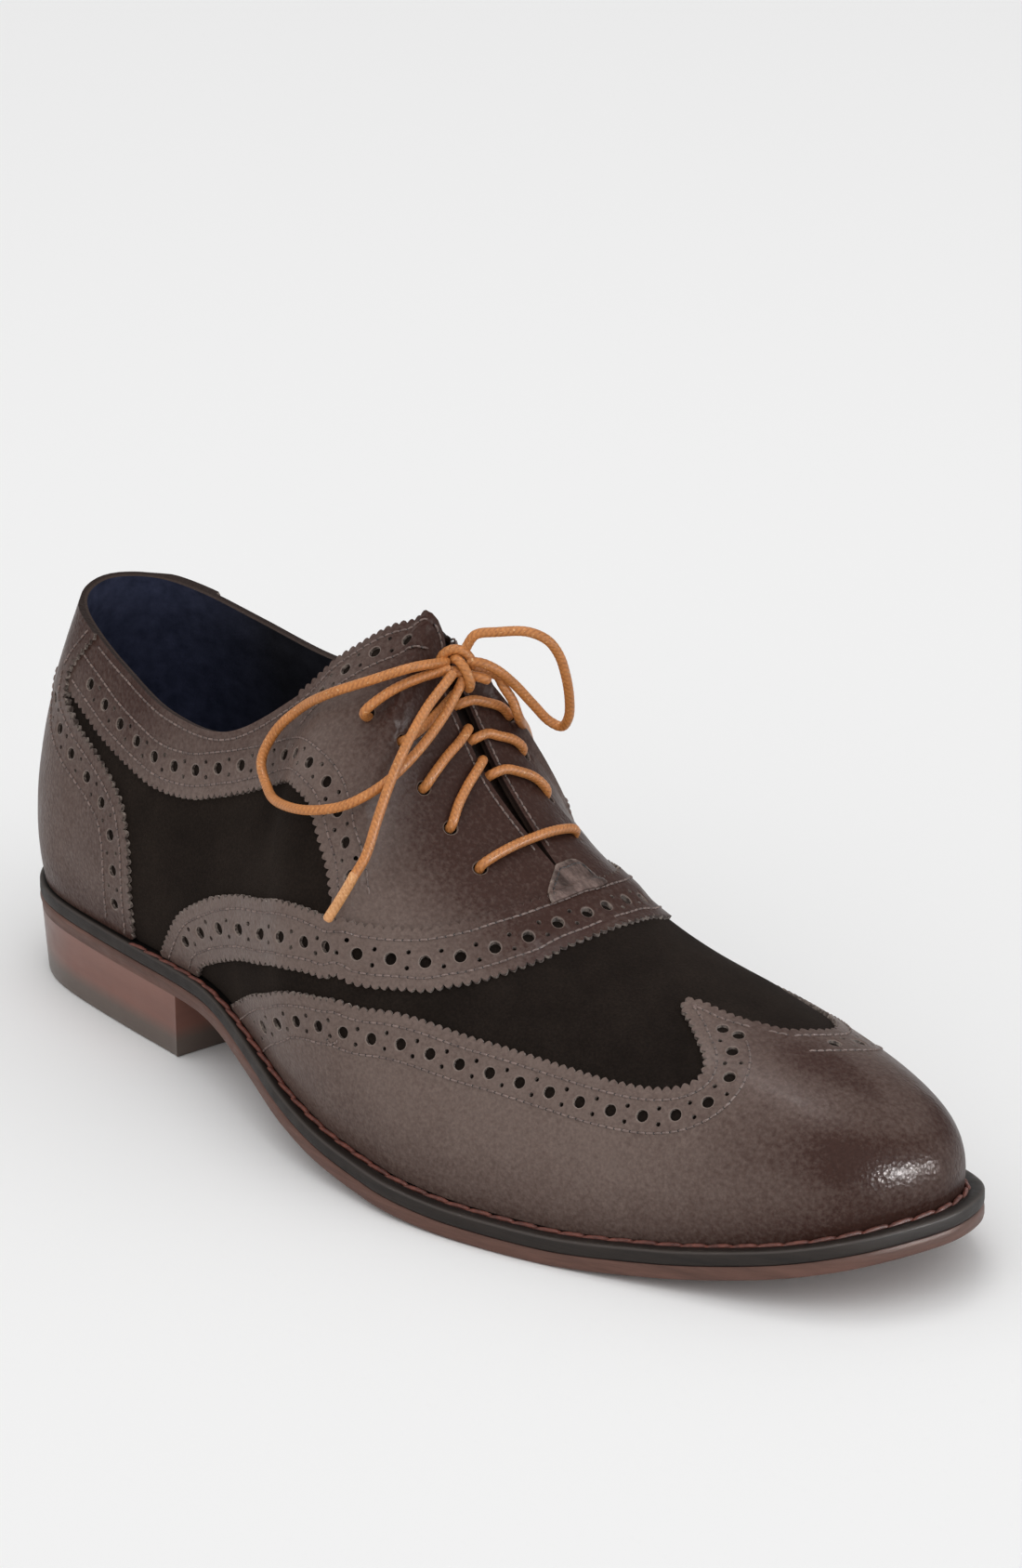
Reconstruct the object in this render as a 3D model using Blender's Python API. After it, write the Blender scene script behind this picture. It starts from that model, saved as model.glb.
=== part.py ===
"""Wingtip oxford, right shoe: hollow leather upper with overlays on a welted sole and stacked heel.

Lengths in the tables are millimetres: x from the heel's back to the toe, y across (lateral side
negative), z up from the floor. The meshes are made in metres about the middle of the sole.
"""
import math

import bmesh
import bpy
import numpy as np

MM = 0.001

# Driving sizes
SOLE_LENGTH = 302.0
COUNTER_BULGE = 0.8
X_MID = (SOLE_LENGTH - COUNTER_BULGE) / 2
Y_MID = -7.4
OUTSOLE_THICK = 3.7
SOLE_THICK = 7.45
GAP = 0.3
WELT_WIDTH = 15.0
HEEL_HEIGHT = 17.6
TOPLIFT_THICK = 6.0
HEEL_BREAST_X = 79.7
HEEL_BREAST_SKEW = 6.0
HEEL_TAPER_TOP = 0.5
HEEL_TAPER_FOOT = 1.9
WALL = 2.0
WALL_OFFSET = -0.8
OVERLAY = 1.0
OVERLAY_OFFSET = 0.5
TONGUE_THICK = 2.0
TONGUE_OFFSET = -3.3
TONGUE_EDGE = 0.70
INSOLE_THICK = 3.0
INSOLE_LIFT = 0.6
INSOLE_INSET = 3.5
LACE_RADIUS = 1.25
LACE_LIFT = 2.5
LACE_STEP = 6.0
AGLET_RADIUS = 1.3
KNOT_SIZE = (2.8, 2.8, 4.6)
KNOT_PLACE = (145.0, -3.4, 115.4)
SOLE_SAMPLES = 49
WELT_SAMPLES = 84
HEEL_SAMPLES = 33

# One row for each section from the heel's back to the toe: the sole's outline (x, lat, med), how far
# the upper stands in from it, the top edge or ridge (place along, middle, half opening, height),
# the wall's lean and pull at its foot, and its turn and pull at its head
SECTION = (
    "x", "lat", "med", "inset", "top_x", "top_mid", "top_half", "top_z", "lean", "foot", "turn", "head",
)
SECTIONS = (
    (0.0, -2.0, -2.0, 2.0, 9.4, -2.3, 0.0, 99.6, 12, 0.34, 20, 0.34),
    (3.0, -15.5, 11.5, 2.0, 11.4, -2.2, 8.0, 98.9, 12, 0.34, 20, 0.34),
    (10.0, -26.4, 21.0, 2.0, 17.2, -1.9, 14.3, 97.6, 12, 0.34, 19, 0.34),
    (22.0, -33.5, 28.0, 2.0, 27.2, -1.5, 18.9, 95.0, 12, 0.34, 18, 0.36),
    (40.0, -37.0, 32.0, 2.2, 42.5, -1.3, 22.9, 91.0, 13, 0.34, 17, 0.36),
    (65.0, -39.7, 31.5, 2.6, 65.0, -1.7, 26.9, 86.8, 14, 0.34, 16, 0.36),
    (95.0, -43.8, 28.0, 3.2, 88.0, -1.9, 27.5, 88.6, 16, 0.36, 18, 0.36),
    (125.0, -53.4, 27.0, 4.0, 106.5, -2.2, 21.2, 101.5, 16, 0.38, 28, 0.34),
    (140.0, -57.8, 29.0, 4.5, 117.5, -2.6, 13.2, 114.5, 16, 0.39, 34, 0.30),
    (155.0, -60.4, 32.0, 5.0, 131.0, -2.8, 2.5, 122.5, 14, 0.40, 34, 0.22),
    (170.0, -61.4, 36.6, 5.3, 143.5, -2.7, 2.2, 104.0, 12, 0.40, 34, 0.22),
    (185.0, -61.2, 41.0, 5.5, 157.0, -2.4, 1.9, 87.0, 10, 0.40, 34, 0.26),
    (210.0, -56.3, 46.0, 5.5, 181.0, -1.4, 0.0, 69.0, 8, 0.40, 34, 0.36),
    (235.0, -47.8, 46.5, 5.5, 206.0, -1.4, 0.0, 61.0, 8, 0.42, 34, 0.42),
    (260.0, -37.4, 43.0, 5.5, 229.0, -1.2, 0.0, 55.4, 8, 0.44, 34, 0.46),
    (280.0, -27.6, 36.0, 5.5, 247.0, 0.4, 0.0, 51.8, 8, 0.45, 34, 0.48),
    (293.0, -16.4, 27.5, 5.5, 260.0, 2.4, 0.0, 49.2, 8, 0.46, 34, 0.50),
    (299.5, -4.0, 18.0, 5.5, 268.0, 4.0, 0.0, 47.2, 8, 0.46, 34, 0.50),
    (302.0, 7.6, 7.6, 5.5, 273.0, 5.2, 0.0, 45.8, 8, 0.46, 34, 0.50),
)
TOE = len(SECTIONS) - 1
LOOP = 2 * TOE
COLLAR_END = 7.4
RIDGE_START = 9.2
SLIT_END = 12
LATTICE_RUNS = ((0, 4, 14), (4, 7, 6), (7, 12, 15), (12, 18, 17))
ROW_STEP = 0.05
LEVELS = np.array([0, 0.13, 0.26, 0.39, 0.51, 0.63, 0.75, 0.87, 1.0])
LEVEL_STEP = 0.02
NORMAL_LIMIT = 0.96
TONGUE_TOP = 9.2

# Slope of the ridge from the facing's top to the toe: row of the table, rise for each mm forward
RIDGE_SLOPE = (
    (8, -1.20), (9, -1.30), (10, -1.35), (11, -1.00), (12, -0.45), (13, -0.28),
    (14, -0.22), (15, -0.20), (16, -0.22), (17, -0.26), (18, -0.28),
)

# Underside of the sole: x, z (seat on the heel, shank, flat tread, toe spring)
SOLE_PROFILE = (
    (0, 17.6), (88, 17.6), (118, 12.6), (154, 4.4), (182, 0.9),
    (200, 0.0), (222, 0.0), (250, 2.4), (275, 7.0), (302, 14.0),
)

# Overlays: row of the table round the shoe, lower edge and upper edge as heights on the wall
WHOLE_SIDE = ((0, 0, 1), (18, 0, 1))
WING_SIDE = (
    (6.34, 0, 0.04), (7.04, 0, 0.19), (8.35, 0, 0.235), (9.07, 0, 0.245), (9.79, 0, 0.29),
    (10.6, 0, 0.34), (11.16, 0, 0.38), (11.97, 0, 0.445), (12.92, 0, 0.48), (13.4, 0, 0.505),
    (13.77, 0, 0.555), (14.05, 0, 0.66),
)
WING_PEAK = ((13.72, 0.86, 1), (13.82, 0.835, 1), (13.93, 0.785, 1), (14.05, 0.66, 1))
WING_TOE = ((14.05, 0, 1), (18.0, 0, 1))
WING_CORNER = (14.05, 0.66)
BAND = (
    (5.26, 0, 0.0), (5.38, 0, 0.12), (5.51, 0, 0.205), (5.69, 0, 0.28), (5.9, 0.10, 0.33),
    (6.3, 0.22, 0.41), (6.86, 0.29, 0.445), (7.8, 0.305, 0.43), (8.44, 0.287, 0.397),
    (8.91, 0.288, 0.377), (9.34, 0.295, 0.395), (10.0, 0.35, 0.465), (10.6, 0.40, 0.525),
    (11.0, 0.45, 0.59), (11.36, 0.525, 0.685), (11.63, 0.60, 0.80), (11.81, 0.655, 0.90),
    (12.05, 0.755, 1), (12.26, 0.84, 1), (12.6, 1.0, 1),
)
QUARTER = (
    (3.0, 0.765, 1), (3.5, 0.752, 1), (4.0, 0.73, 1), (4.54, 0.72, 1), (5.06, 0.71, 1),
    (5.58, 0.74, 1), (6.08, 0.775, 1), (6.5, 0.77, 1), (6.91, 0.75, 1), (7.4, 0.735, 1),
    (7.99, 0.675, 1), (8.32, 0.61, 1), (8.62, 0.51, 1), (8.93, 0.40, 1), (9.34, 0.418, 1),
    (10.0, 0.488, 1), (10.6, 0.548, 1), (11.0, 0.613, 1), (11.36, 0.708, 1), (11.63, 0.823, 1),
    (11.78, 0.915, 1), (11.86, 0.985, 1),
)
COUNTER_BACK = ((0.0, 0, 1), (2.52, 0, 1))
COUNTER_SIDE = (
    (2.52, 0, 0.80), (2.72, 0, 0.72), (3.08, 0, 0.69), (3.85, 0, 0.645), (4.27, 0, 0.60),
    (4.52, 0, 0.545), (4.70, 0, 0.425), (4.77, 0, 0.285),
)
COUNTER_TOP = ((2.52, 0.80, 1), (2.92, 1.0, 1))
COUNTER_CORNER = (2.52, 0.80)

# Lace bars: near eyelet, way up to the gap, far eyelet, as rows of the table and heights on the wall
BARS = (
    ((11.16, 0.78), (11.32, 0.89), (11.47, 1.0), (24.68, 0.89), (24.84, 0.78)),
    ((10.66, 0.785), (10.71, 0.90), (10.68, 1.0), (25.28, 0.89), (25.34, 0.785)),
    ((9.94, 0.75), (10.19, 0.88), (10.35, 1.0), (25.72, 0.88), (26.06, 0.75)),
    ((9.34, 0.72), (9.65, 0.845), (9.95, 1.0), (26.25, 0.86), (26.66, 0.72)),
)

# Free stretches of the lace: x, y, z along each route
TOP_NEAR = ((136.9, -28.2, 108.2), (139.2, -22.0, 111.4), (141.8, -15.0, 112.8), (143.6, -9.6, 113.0))
TOP_FAR = ((138.2, 15.6, 107.4), (139.8, 11.4, 110.6), (141.4, 7.0, 112.2), (143.0, 2.4, 113.0))
LOOP_NEAR = (
    (143.2, -7.0, 117.4), (142.3, -17.5, 118.6), (136.0, -26.0, 115.6), (126.5, -30.6, 110.6),
    (114.9, -31.4, 103.6), (107.6, -34.2, 96.0), (105.6, -37.0, 88.6), (111.4, -40.4, 84.6),
    (123.6, -44.6, 85.4), (136.7, -46.5, 88.0), (145.0, -43.0, 90.6), (149.5, -38.6, 93.8),
    (151.5, -33.0, 97.0), (151.4, -23.1, 102.2), (149.0, -12.4, 108.0), (146.8, -7.4, 111.6),
)
LOOP_FAR = (
    (145.6, -3.2, 120.6), (147.8, -2.0, 124.4), (152.2, 1.0, 125.6), (157.7, 6.0, 125.9),
    (160.9, 9.4, 123.8), (162.0, 12.2, 119.6), (162.3, 14.2, 113.9), (161.6, 16.2, 106.6),
    (160.2, 17.2, 101.2), (157.6, 17.4, 98.0), (154.9, 16.0, 98.9), (153.0, 12.0, 104.1),
    (151.6, 7.0, 110.4), (150.6, 2.0, 115.2), (148.8, -1.2, 117.2),
)
END_NEAR = (
    (147.4, -9.6, 114.0), (149.6, -20.1, 110.3), (152.8, -30.9, 102.4), (153.8, -36.4, 95.2),
    (154.9, -40.7, 89.0), (156.0, -45.5, 81.5), (155.6, -49.2, 77.0),
)
TIP_NEAR = ((155.5, -49.4, 76.6), (154.4, -52.4, 71.8), (153.2, -55.6, 67.0))
END_FAR = (
    (147.4, 0.6, 113.8), (147.6, 5.4, 112.0), (149.2, 5.8, 109.4), (150.8, 7.6, 105.2), (150.8, 11.9, 100.9),
)
# Far end down the medial wall: row of the table, height on the wall, lift off it
END_FAR_WALL = (
    (26.8, 0.70, 4.6), (27.1, 0.64, 3.0), (27.4, 0.58, 2.5), (27.6, 0.52, 2.5), (27.7, 0.46, 2.5),
)
TIP_FAR_WALL = ((27.705, 0.452, 2.5), (27.71, 0.405, 2.5), (27.71, 0.36, 2.5))

# Colour and roughness of each material
LEATHER = ((0.105, 0.075, 0.064), 0.45)
SUEDE = ((0.014, 0.011, 0.009), 0.95)
LINING = ((0.010, 0.013, 0.035), 0.80)
TONGUE_LEATHER = ((0.070, 0.052, 0.046), 0.60)
SOLE_BROWN = ((0.190, 0.083, 0.058), 0.45)
RUBBER = ((0.091, 0.065, 0.055), 0.60)
WELT_DARK = ((0.045, 0.036, 0.032), 0.55)
LACE_TAN = ((0.610, 0.245, 0.062), 0.55)


def ring(lateral, medial):
    """Values round the whole shoe: heel, lateral side, toe, medial side."""
    return np.concatenate([lateral, medial[-2:0:-1]])


COLUMN = {name: np.array([row[k] for row in SECTIONS], float) for k, name in enumerate(SECTION)}
RINGS = {name: ring(COLUMN[name], COLUMN[name]) for name in SECTION}
RINGS["y"] = ring(COLUMN["lat"], COLUMN["med"])
RINGS["open"] = ring(-COLUMN["top_half"], COLUMN["top_half"])


def hermite(values, slopes, t):
    count = len(values)
    t = np.asarray(t, float) % count
    i = np.floor(t).astype(int) % count
    j = (i + 1) % count
    f = t - np.floor(t)
    start = values[i] * (1 + 2 * f) * (1 - f) ** 2 + slopes[i] * f * (1 - f) ** 2
    return start + values[j] * f * f * (3 - 2 * f) + slopes[j] * f * f * (f - 1)


def smooth(values, t):
    """Closed curve through the rows with an even bend."""
    count = len(values)
    i = np.arange(count)
    matrix = np.zeros((count, count))
    matrix[i, i] = 4
    matrix[i, (i + 1) % count] = 1
    matrix[i, (i - 1) % count] = 1
    slopes = np.linalg.solve(matrix, 3 * (np.roll(values, -1) - np.roll(values, 1)))
    return hermite(values, slopes, t)


def local(values, t):
    """Closed curve through the rows in which each row acts only on its neighbours."""
    return hermite(values, (np.roll(values, -1) - np.roll(values, 1)) / 2, t)


def glide(rows, x):
    """Curve through (place, value) rows with no overshoot."""
    px = np.array([r[0] for r in rows], float)
    pz = np.array([r[1] for r in rows], float)
    step = np.diff(px)
    rate = np.diff(pz) / step
    slope = np.zeros(len(px))
    for k in range(1, len(px) - 1):
        if rate[k - 1] * rate[k] > 0:
            a = 2 * step[k] + step[k - 1]
            b = step[k] + 2 * step[k - 1]
            slope[k] = (a + b) / (a / rate[k - 1] + b / rate[k])
    slope[-1] = rate[-1]
    slope[0] = rate[0]
    x = np.clip(np.asarray(x, float), px[0], px[-1])
    k = np.clip(np.searchsorted(px, x, side="right") - 1, 0, len(step) - 1)
    f = (x - px[k]) / step[k]
    first = pz[k] * (1 + 2 * f) * (1 - f) ** 2 + slope[k] * step[k] * f * (1 - f) ** 2
    return first + pz[k + 1] * f * f * (3 - 2 * f) + slope[k + 1] * step[k] * f * f * (f - 1)


def underside(x):
    return glide(SOLE_PROFILE, x)


def inward(t):
    """Level direction into the shoe, square to the sole's outline."""
    e = 1e-3
    t = np.asarray(t, float)
    dx = smooth(RINGS["x"], t + e) - smooth(RINGS["x"], t - e)
    dy = smooth(RINGS["y"], t + e) - smooth(RINGS["y"], t - e)
    size = np.hypot(dx, dy)
    return np.stack([-dy / size, dx / size], -1)


def outline(t, inset=0.0):
    """Sole's outline, moved in by the inset."""
    plan = np.stack([smooth(RINGS["x"], t), smooth(RINGS["y"], t)], -1)
    return plan + inward(t) * np.asarray(inset, float)[..., None]


def wall(t, v):
    """Upper's own function: row t of the table round the shoe, height v from sole to top edge."""
    t, v = np.broadcast_arrays(np.asarray(t, float), np.asarray(v, float))
    side = inward(t)
    foot = np.zeros(t.shape + (3,))
    foot[..., :2] = outline(t, smooth(RINGS["inset"], t))
    foot[..., 2] = underside(foot[..., 0]) + SOLE_THICK + GAP
    lateral = (t % LOOP) <= TOE
    half = local(RINGS["open"], t)
    half = np.where(lateral, np.minimum(half, 0), np.maximum(half, 0))
    top = [local(RINGS["top_x"], t), local(RINGS["top_mid"], t) + half, local(RINGS["top_z"], t)]
    top = np.stack(top, -1)
    across = (top - foot)[..., :2]
    across = across / np.linalg.norm(across, axis=-1, keepdims=True)
    span = np.linalg.norm(top - foot, axis=-1)
    row = np.minimum(t % LOOP, LOOP - t % LOOP)
    ridge = np.clip((row - COLLAR_END) / (RIDGE_START - COLLAR_END), 0, 1)
    ridge = ridge * ridge * (3 - 2 * ridge)
    head = side * (1 - ridge)[..., None] + across * ridge[..., None]
    head = head / np.linalg.norm(head, axis=-1, keepdims=True)
    slope = np.interp(row, [r[0] for r in RIDGE_SLOPE], [r[1] for r in RIDGE_SLOPE])
    turn = np.radians(np.interp(row, np.arange(TOE + 1), COLUMN["turn"])) * (1 - ridge)
    turn = turn + (math.pi / 2 - np.arctan(head[..., 0] * slope)) * ridge
    lean = np.radians(smooth(RINGS["lean"], t))
    pull_foot = smooth(RINGS["foot"], t) * span
    pull_head = local(RINGS["head"], t) * span
    low = foot.copy()
    low[..., :2] -= side * (np.sin(lean) * pull_foot)[..., None]
    low[..., 2] += np.cos(lean) * pull_foot
    high = top.copy()
    high[..., :2] -= head * (np.sin(turn) * pull_head)[..., None]
    high[..., 2] -= np.cos(turn) * pull_head
    v = v[..., None]
    u = 1 - v
    return u ** 3 * foot + 3 * u * u * v * low + 3 * u * v * v * high + v ** 3 * top


def skin(t, v, offset):
    """Point of the wall moved out along its normal, which is taken just short of the top edge."""
    et = 0.02
    ev = 0.01
    t, v = np.broadcast_arrays(np.asarray(t, float), np.asarray(v, float))
    level = np.clip(v, ev, NORMAL_LIMIT)
    along = wall(t + et, level) - wall(t - et, level)
    up = wall(t, level + ev) - wall(t, level - ev)
    normal = np.cross(along, up)
    normal /= np.linalg.norm(normal, axis=-1, keepdims=True)
    return wall(t, v) + normal * offset


def place(points):
    """Millimetres of the tables to metres about the middle of the sole."""
    return (np.asarray(points, float) - np.array([X_MID, Y_MID, 0.0])) * MM


def material(name, look):
    colour, rough = look
    made = bpy.data.materials.new(name)
    made.use_nodes = True
    shader = made.node_tree.nodes["Principled BSDF"]
    shader.inputs["Base Color"].default_value = (*colour, 1.0)
    shader.inputs["Roughness"].default_value = rough
    shader.inputs["Metallic"].default_value = 0.0
    return made


def node(name, data, look):
    made = bpy.data.objects.new(name, data)
    bpy.context.scene.collection.objects.link(made)
    data.materials.append(material(name, look))
    return made


def solid(name, points, faces, look):
    """Closed mesh node from points in the tables' millimetres."""
    mesh = bpy.data.meshes.new(name)
    mesh.from_pydata([tuple(p) for p in place(points)], [], faces)
    bm = bmesh.new()
    bm.from_mesh(mesh)
    bmesh.ops.recalc_face_normals(bm, faces=bm.faces)
    bm.to_mesh(mesh)
    bm.free()
    return node(name, mesh, look)


def sheet(name, outer, inner, faces, look):
    """Closed piece of leather between its two faces, with a rim round every free edge."""
    count = len(outer)
    edges = {(face[k], face[(k + 1) % len(face)]) for face in faces for k in range(len(face))}
    rim = [(b, a, a + count, b + count) for a, b in sorted(edges) if (b, a) not in edges]
    back = [tuple(count + k for k in reversed(face)) for face in faces]
    return solid(name, np.concatenate([outer, inner]), list(faces) + back + rim, look)


def plate(name, inset, low, high, samples, look):
    """Curved plate of the sole's outline between two heights over the underside."""
    half = np.linspace(0, TOE, samples)
    t = np.concatenate([half, LOOP - half[-2:0:-1]])
    plan = outline(t, inset(t))
    base = underside(plan[:, 0])
    count = len(t)
    points = np.concatenate([np.c_[plan, base + low], np.c_[plan, base + high]])
    faces = [(i, (i + 1) % count, (i + 1) % count + count, i + count) for i in range(count)]
    for level in (0, count):
        for i in range(samples - 1):
            a = level + i
            b = level + i + 1
            c = level + (count - i - 1) % count
            d = level + (count - i) % count
            faces.append(tuple(dict.fromkeys((a, b, c, d))))
    return solid(name, points, faces, look)


def no_inset(t):
    return np.zeros(t.shape)


def insole_inset(t):
    return smooth(RINGS["inset"], t) + INSOLE_INSET


def strip(name, width, low, high, samples, look):
    """Closed strip along the sole's outline."""
    t = np.linspace(0, LOOP, samples, endpoint=False)
    outer = outline(t)
    inner = outline(t, np.full(t.shape, width))
    count = len(t)
    corners = []
    for plan, level in ((outer, low), (outer, high), (inner, high), (inner, low)):
        corners.append(np.c_[plan, underside(plan[:, 0]) + level])
    faces = []
    for k in range(4):
        for i in range(count):
            j = (i + 1) % count
            n = (k + 1) % 4
            faces.append((k * count + i, k * count + j, n * count + j, n * count + i))
    return solid(name, np.concatenate(corners), faces, look)


def breast_row(side):
    """Row of the table where the heel's front face meets the sole's edge."""
    low, high = 4.0, 7.0
    lean = math.tan(math.radians(HEEL_BREAST_SKEW))
    for _ in range(40):
        mid = (low + high) / 2
        x, y = outline(np.array(mid if side < 0 else LOOP - mid))
        if x < HEEL_BREAST_X + (y - COLUMN["lat"][5]) * lean:
            low = mid
        else:
            high = mid
    return low


def heel_layer(name, low, high, samples, look):
    """Layer of the heel between two heights, narrower toward the floor."""
    t = np.linspace(-breast_row(1), breast_row(-1), samples)
    points = []
    for z in (low, high):
        taper = HEEL_TAPER_FOOT + (HEEL_TAPER_TOP - HEEL_TAPER_FOOT) * z / HEEL_HEIGHT
        plan = outline(t, np.full(t.shape, taper))
        plan[:, 0] -= taper * (np.arange(samples) % (samples - 1) == 0)
        points.append(np.c_[plan, np.full(samples, z)])
    faces = [tuple(range(samples)), tuple(range(samples, 2 * samples))]
    faces += [(i, (i + 1) % samples, (i + 1) % samples + samples, i + samples) for i in range(samples)]
    return solid(name, np.concatenate(points), faces, look)


def lattice_rows():
    """Rows at which the wall is built, close together where it turns at heel, facing and toe."""
    runs = [np.linspace(first, last, count, endpoint=False) for first, last, count in LATTICE_RUNS]
    half = np.concatenate(runs)
    return np.concatenate([half, [TOE], LOOP - half[::-1]])


LATTICE = lattice_rows()


def wall_grid(offset):
    """Wall at every row and level; both sides share the closed ridge."""
    grid = skin(LATTICE[:, None], LEVELS[None, :], offset)
    grid[-1] = grid[0]
    count = len(LATTICE)
    for i in range(count // 2 + 1):
        if LATTICE[i] >= SLIT_END:
            middle = (grid[i, -1] + grid[count - 1 - i, -1]) / 2
            grid[i, -1] = middle
            grid[count - 1 - i, -1] = middle
    return grid


def on_facets(grid, t, v):
    """Place on the built wall's own facets."""
    t = t % LOOP
    i = min(int(np.searchsorted(LATTICE, t, side="right")) - 1, len(LATTICE) - 2)
    j = min(int(np.searchsorted(LEVELS, v, side="right")) - 1, len(LEVELS) - 2)
    a = (t - LATTICE[i]) / (LATTICE[i + 1] - LATTICE[i])
    b = (v - LEVELS[j]) / (LEVELS[j + 1] - LEVELS[j])
    near, far = (i, i + 1) if t < TOE else (i + 1, i)
    a = a if t < TOE else 1 - a
    low, low_far, high, high_far = grid[near, j], grid[far, j], grid[near, j + 1], grid[far, j + 1]
    if a >= b:
        return low + a * (low_far - low) + b * (high_far - low_far)
    return low + b * (high - low) + a * (high_far - high)


def columns(strip_rows, seams):
    """Rows of a strip with the heights that its points have there."""
    table = np.array(strip_rows, float)
    cycle = np.concatenate([LATTICE[:-1] - LOOP, LATTICE])
    crossings = []
    for first, last in zip(table, table[1:]):
        for edge in (1, 2):
            rise = last[edge] - first[edge]
            for level in LEVELS:
                if (first[edge] - level) * (last[edge] - level) < 0:
                    crossings.append(first[0] + (last[0] - first[0]) * (level - first[edge]) / rise)
    ends = [table[0, 0], table[-1, 0]]
    rows = list(ends)
    for t in list(cycle[(cycle > ends[0]) & (cycle < ends[1])]) + crossings:
        if min(abs(t - r) for r in rows) > ROW_STEP:
            rows.append(t)
    rows = sorted(rows)
    made = []
    for t in rows:
        low = float(np.interp(t, table[:, 0], table[:, 1]))
        high = float(np.interp(t, table[:, 0], table[:, 2]))
        levels = [v for v in LEVELS if low + LEVEL_STEP < v < high - LEVEL_STEP]
        levels += [v for row, v in seams if abs(row - t) < 1e-6 and low + 0.001 < v < high - 0.001]
        edges = [low, high] if high - low > 1e-6 else [low]
        made.append((float(t), sorted(set(levels + edges))))
    return made


def overlay(name, strips, thick, offset, look, seams=(), sides=(False, True)):
    """Overlay cut from the wall's own facets, in strips between lower and upper edges."""
    face_grid = wall_grid(offset)
    back_grid = wall_grid(offset - thick)
    outer = []
    inner = []
    index = {}
    faces = []

    def corner(t, v, mirror):
        t = (LOOP - t if mirror else t) % LOOP
        if v > 1 - 1e-9 and min(t, LOOP - t) >= SLIT_END:
            t = min(t, LOOP - t)
        key = (round(t, 5), round(v, 5))
        if key not in index:
            index[key] = len(outer)
            outer.append(on_facets(face_grid, t, v))
            inner.append(on_facets(back_grid, t, v))
        return index[key]

    for mirror in sides:
        for strip_rows in strips:
            made = columns(strip_rows, seams)
            for (ta, va), (tb, vb) in zip(made, made[1:]):
                i = j = 0
                while i < len(va) - 1 or j < len(vb) - 1:
                    step_a = i < len(va) - 1 and (j == len(vb) - 1 or va[i + 1] <= vb[j + 1] + 1e-9)
                    step_b = j < len(vb) - 1 and (i == len(va) - 1 or vb[j + 1] <= va[i + 1] + 1e-9)
                    face = [corner(ta, va[i], mirror), corner(tb, vb[j], mirror)]
                    if step_b:
                        j += 1
                        face.append(corner(tb, vb[j], mirror))
                    if step_a:
                        i += 1
                        face.append(corner(ta, va[i], mirror))
                    for part in (face[:3], face[:1] + face[2:]):
                        if len(set(part)) == 3:
                            faces.append(tuple(part[::-1] if mirror else part))
    return sheet(name, outer, inner, faces, look)


def tongue_points(offset):
    """Rows of the tongue under both facings, from their top down to the throat."""
    grid = wall_grid(offset)
    heights = [TONGUE_EDGE] + [v for v in LEVELS if v > TONGUE_EDGE + LEVEL_STEP]
    made = []
    for t in (t for t in LATTICE if TONGUE_TOP < t < SLIT_END - 0.1):
        near = [on_facets(grid, t, v) for v in heights]
        far = [on_facets(grid, LOOP - t, v) for v in heights]
        made.append(near[:-1] + [(near[-1] + far[-1]) / 2] + far[-2::-1])
    return np.array(made)


def tongue(name, offset, thick, look):
    outer = tongue_points(offset)
    inner = tongue_points(offset - thick)
    rows, cols = outer.shape[:2]
    faces = []
    for i in range(rows - 1):
        for j in range(cols - 1):
            a = i * cols + j
            faces.append((a, a + cols, a + cols + 1, a + 1))
    return sheet(name, outer.reshape(-1, 3), inner.reshape(-1, 3), faces, look)


def bend(route, fine=400):
    """Smooth curve through a route's own points, then evenly spaced points on it."""
    route = np.array(route, float)
    reach = np.concatenate([[0], np.cumsum(np.sqrt(np.linalg.norm(np.diff(route, axis=0), axis=1)))])
    slope = np.gradient(route, reach, axis=0)
    s = np.linspace(0, reach[-1], fine)
    k = np.clip(np.searchsorted(reach, s, side="right") - 1, 0, len(route) - 2)
    step = (reach[k + 1] - reach[k])[:, None]
    f = ((s - reach[k]) / step[:, 0])[:, None]
    curve = route[k] * (1 + 2 * f) * (1 - f) ** 2 + slope[k] * step * f * (1 - f) ** 2
    curve += route[k + 1] * f * f * (3 - 2 * f) + slope[k + 1] * step * f * f * (f - 1)
    run = np.concatenate([[0], np.cumsum(np.linalg.norm(np.diff(curve, axis=0), axis=1))])
    count = max(3, int(round(run[-1] / LACE_STEP)) + 1)
    even = np.linspace(0, run[-1], count)
    return np.stack([np.interp(even, run, curve[:, c]) for c in range(3)], -1)


def lace(name, route, radius=LACE_RADIUS):
    """Tube along a route."""
    data = bpy.data.curves.new(name, "CURVE")
    data.dimensions = "3D"
    data.bevel_depth = radius * MM
    data.bevel_resolution = 2
    data.use_fill_caps = True
    points = place(bend(route))
    spline = data.splines.new("POLY")
    spline.points.add(len(points) - 1)
    for point, spot in zip(spline.points, points):
        point.co = (*spot, 1.0)
    return node(name, data, LACE_TAN)


def on_wall(rows):
    return [skin(t, v, lift) for t, v, lift in rows]


for old in list(bpy.data.objects):
    bpy.data.objects.remove(old)

# Sole
plate("outsole", no_inset, 0.0, OUTSOLE_THICK, SOLE_SAMPLES, SOLE_BROWN)
strip("welt", WELT_WIDTH, OUTSOLE_THICK + GAP, SOLE_THICK, WELT_SAMPLES, WELT_DARK)
heel_layer("heel_toplift", 0.0, TOPLIFT_THICK, HEEL_SAMPLES, RUBBER)
heel_layer("heel_stack", TOPLIFT_THICK + GAP, HEEL_HEIGHT - GAP, HEEL_SAMPLES, SOLE_BROWN)
INSOLE_FOOT = SOLE_THICK + INSOLE_LIFT
plate("insole", insole_inset, INSOLE_FOOT, INSOLE_FOOT + INSOLE_THICK, SOLE_SAMPLES, LINING)

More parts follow.
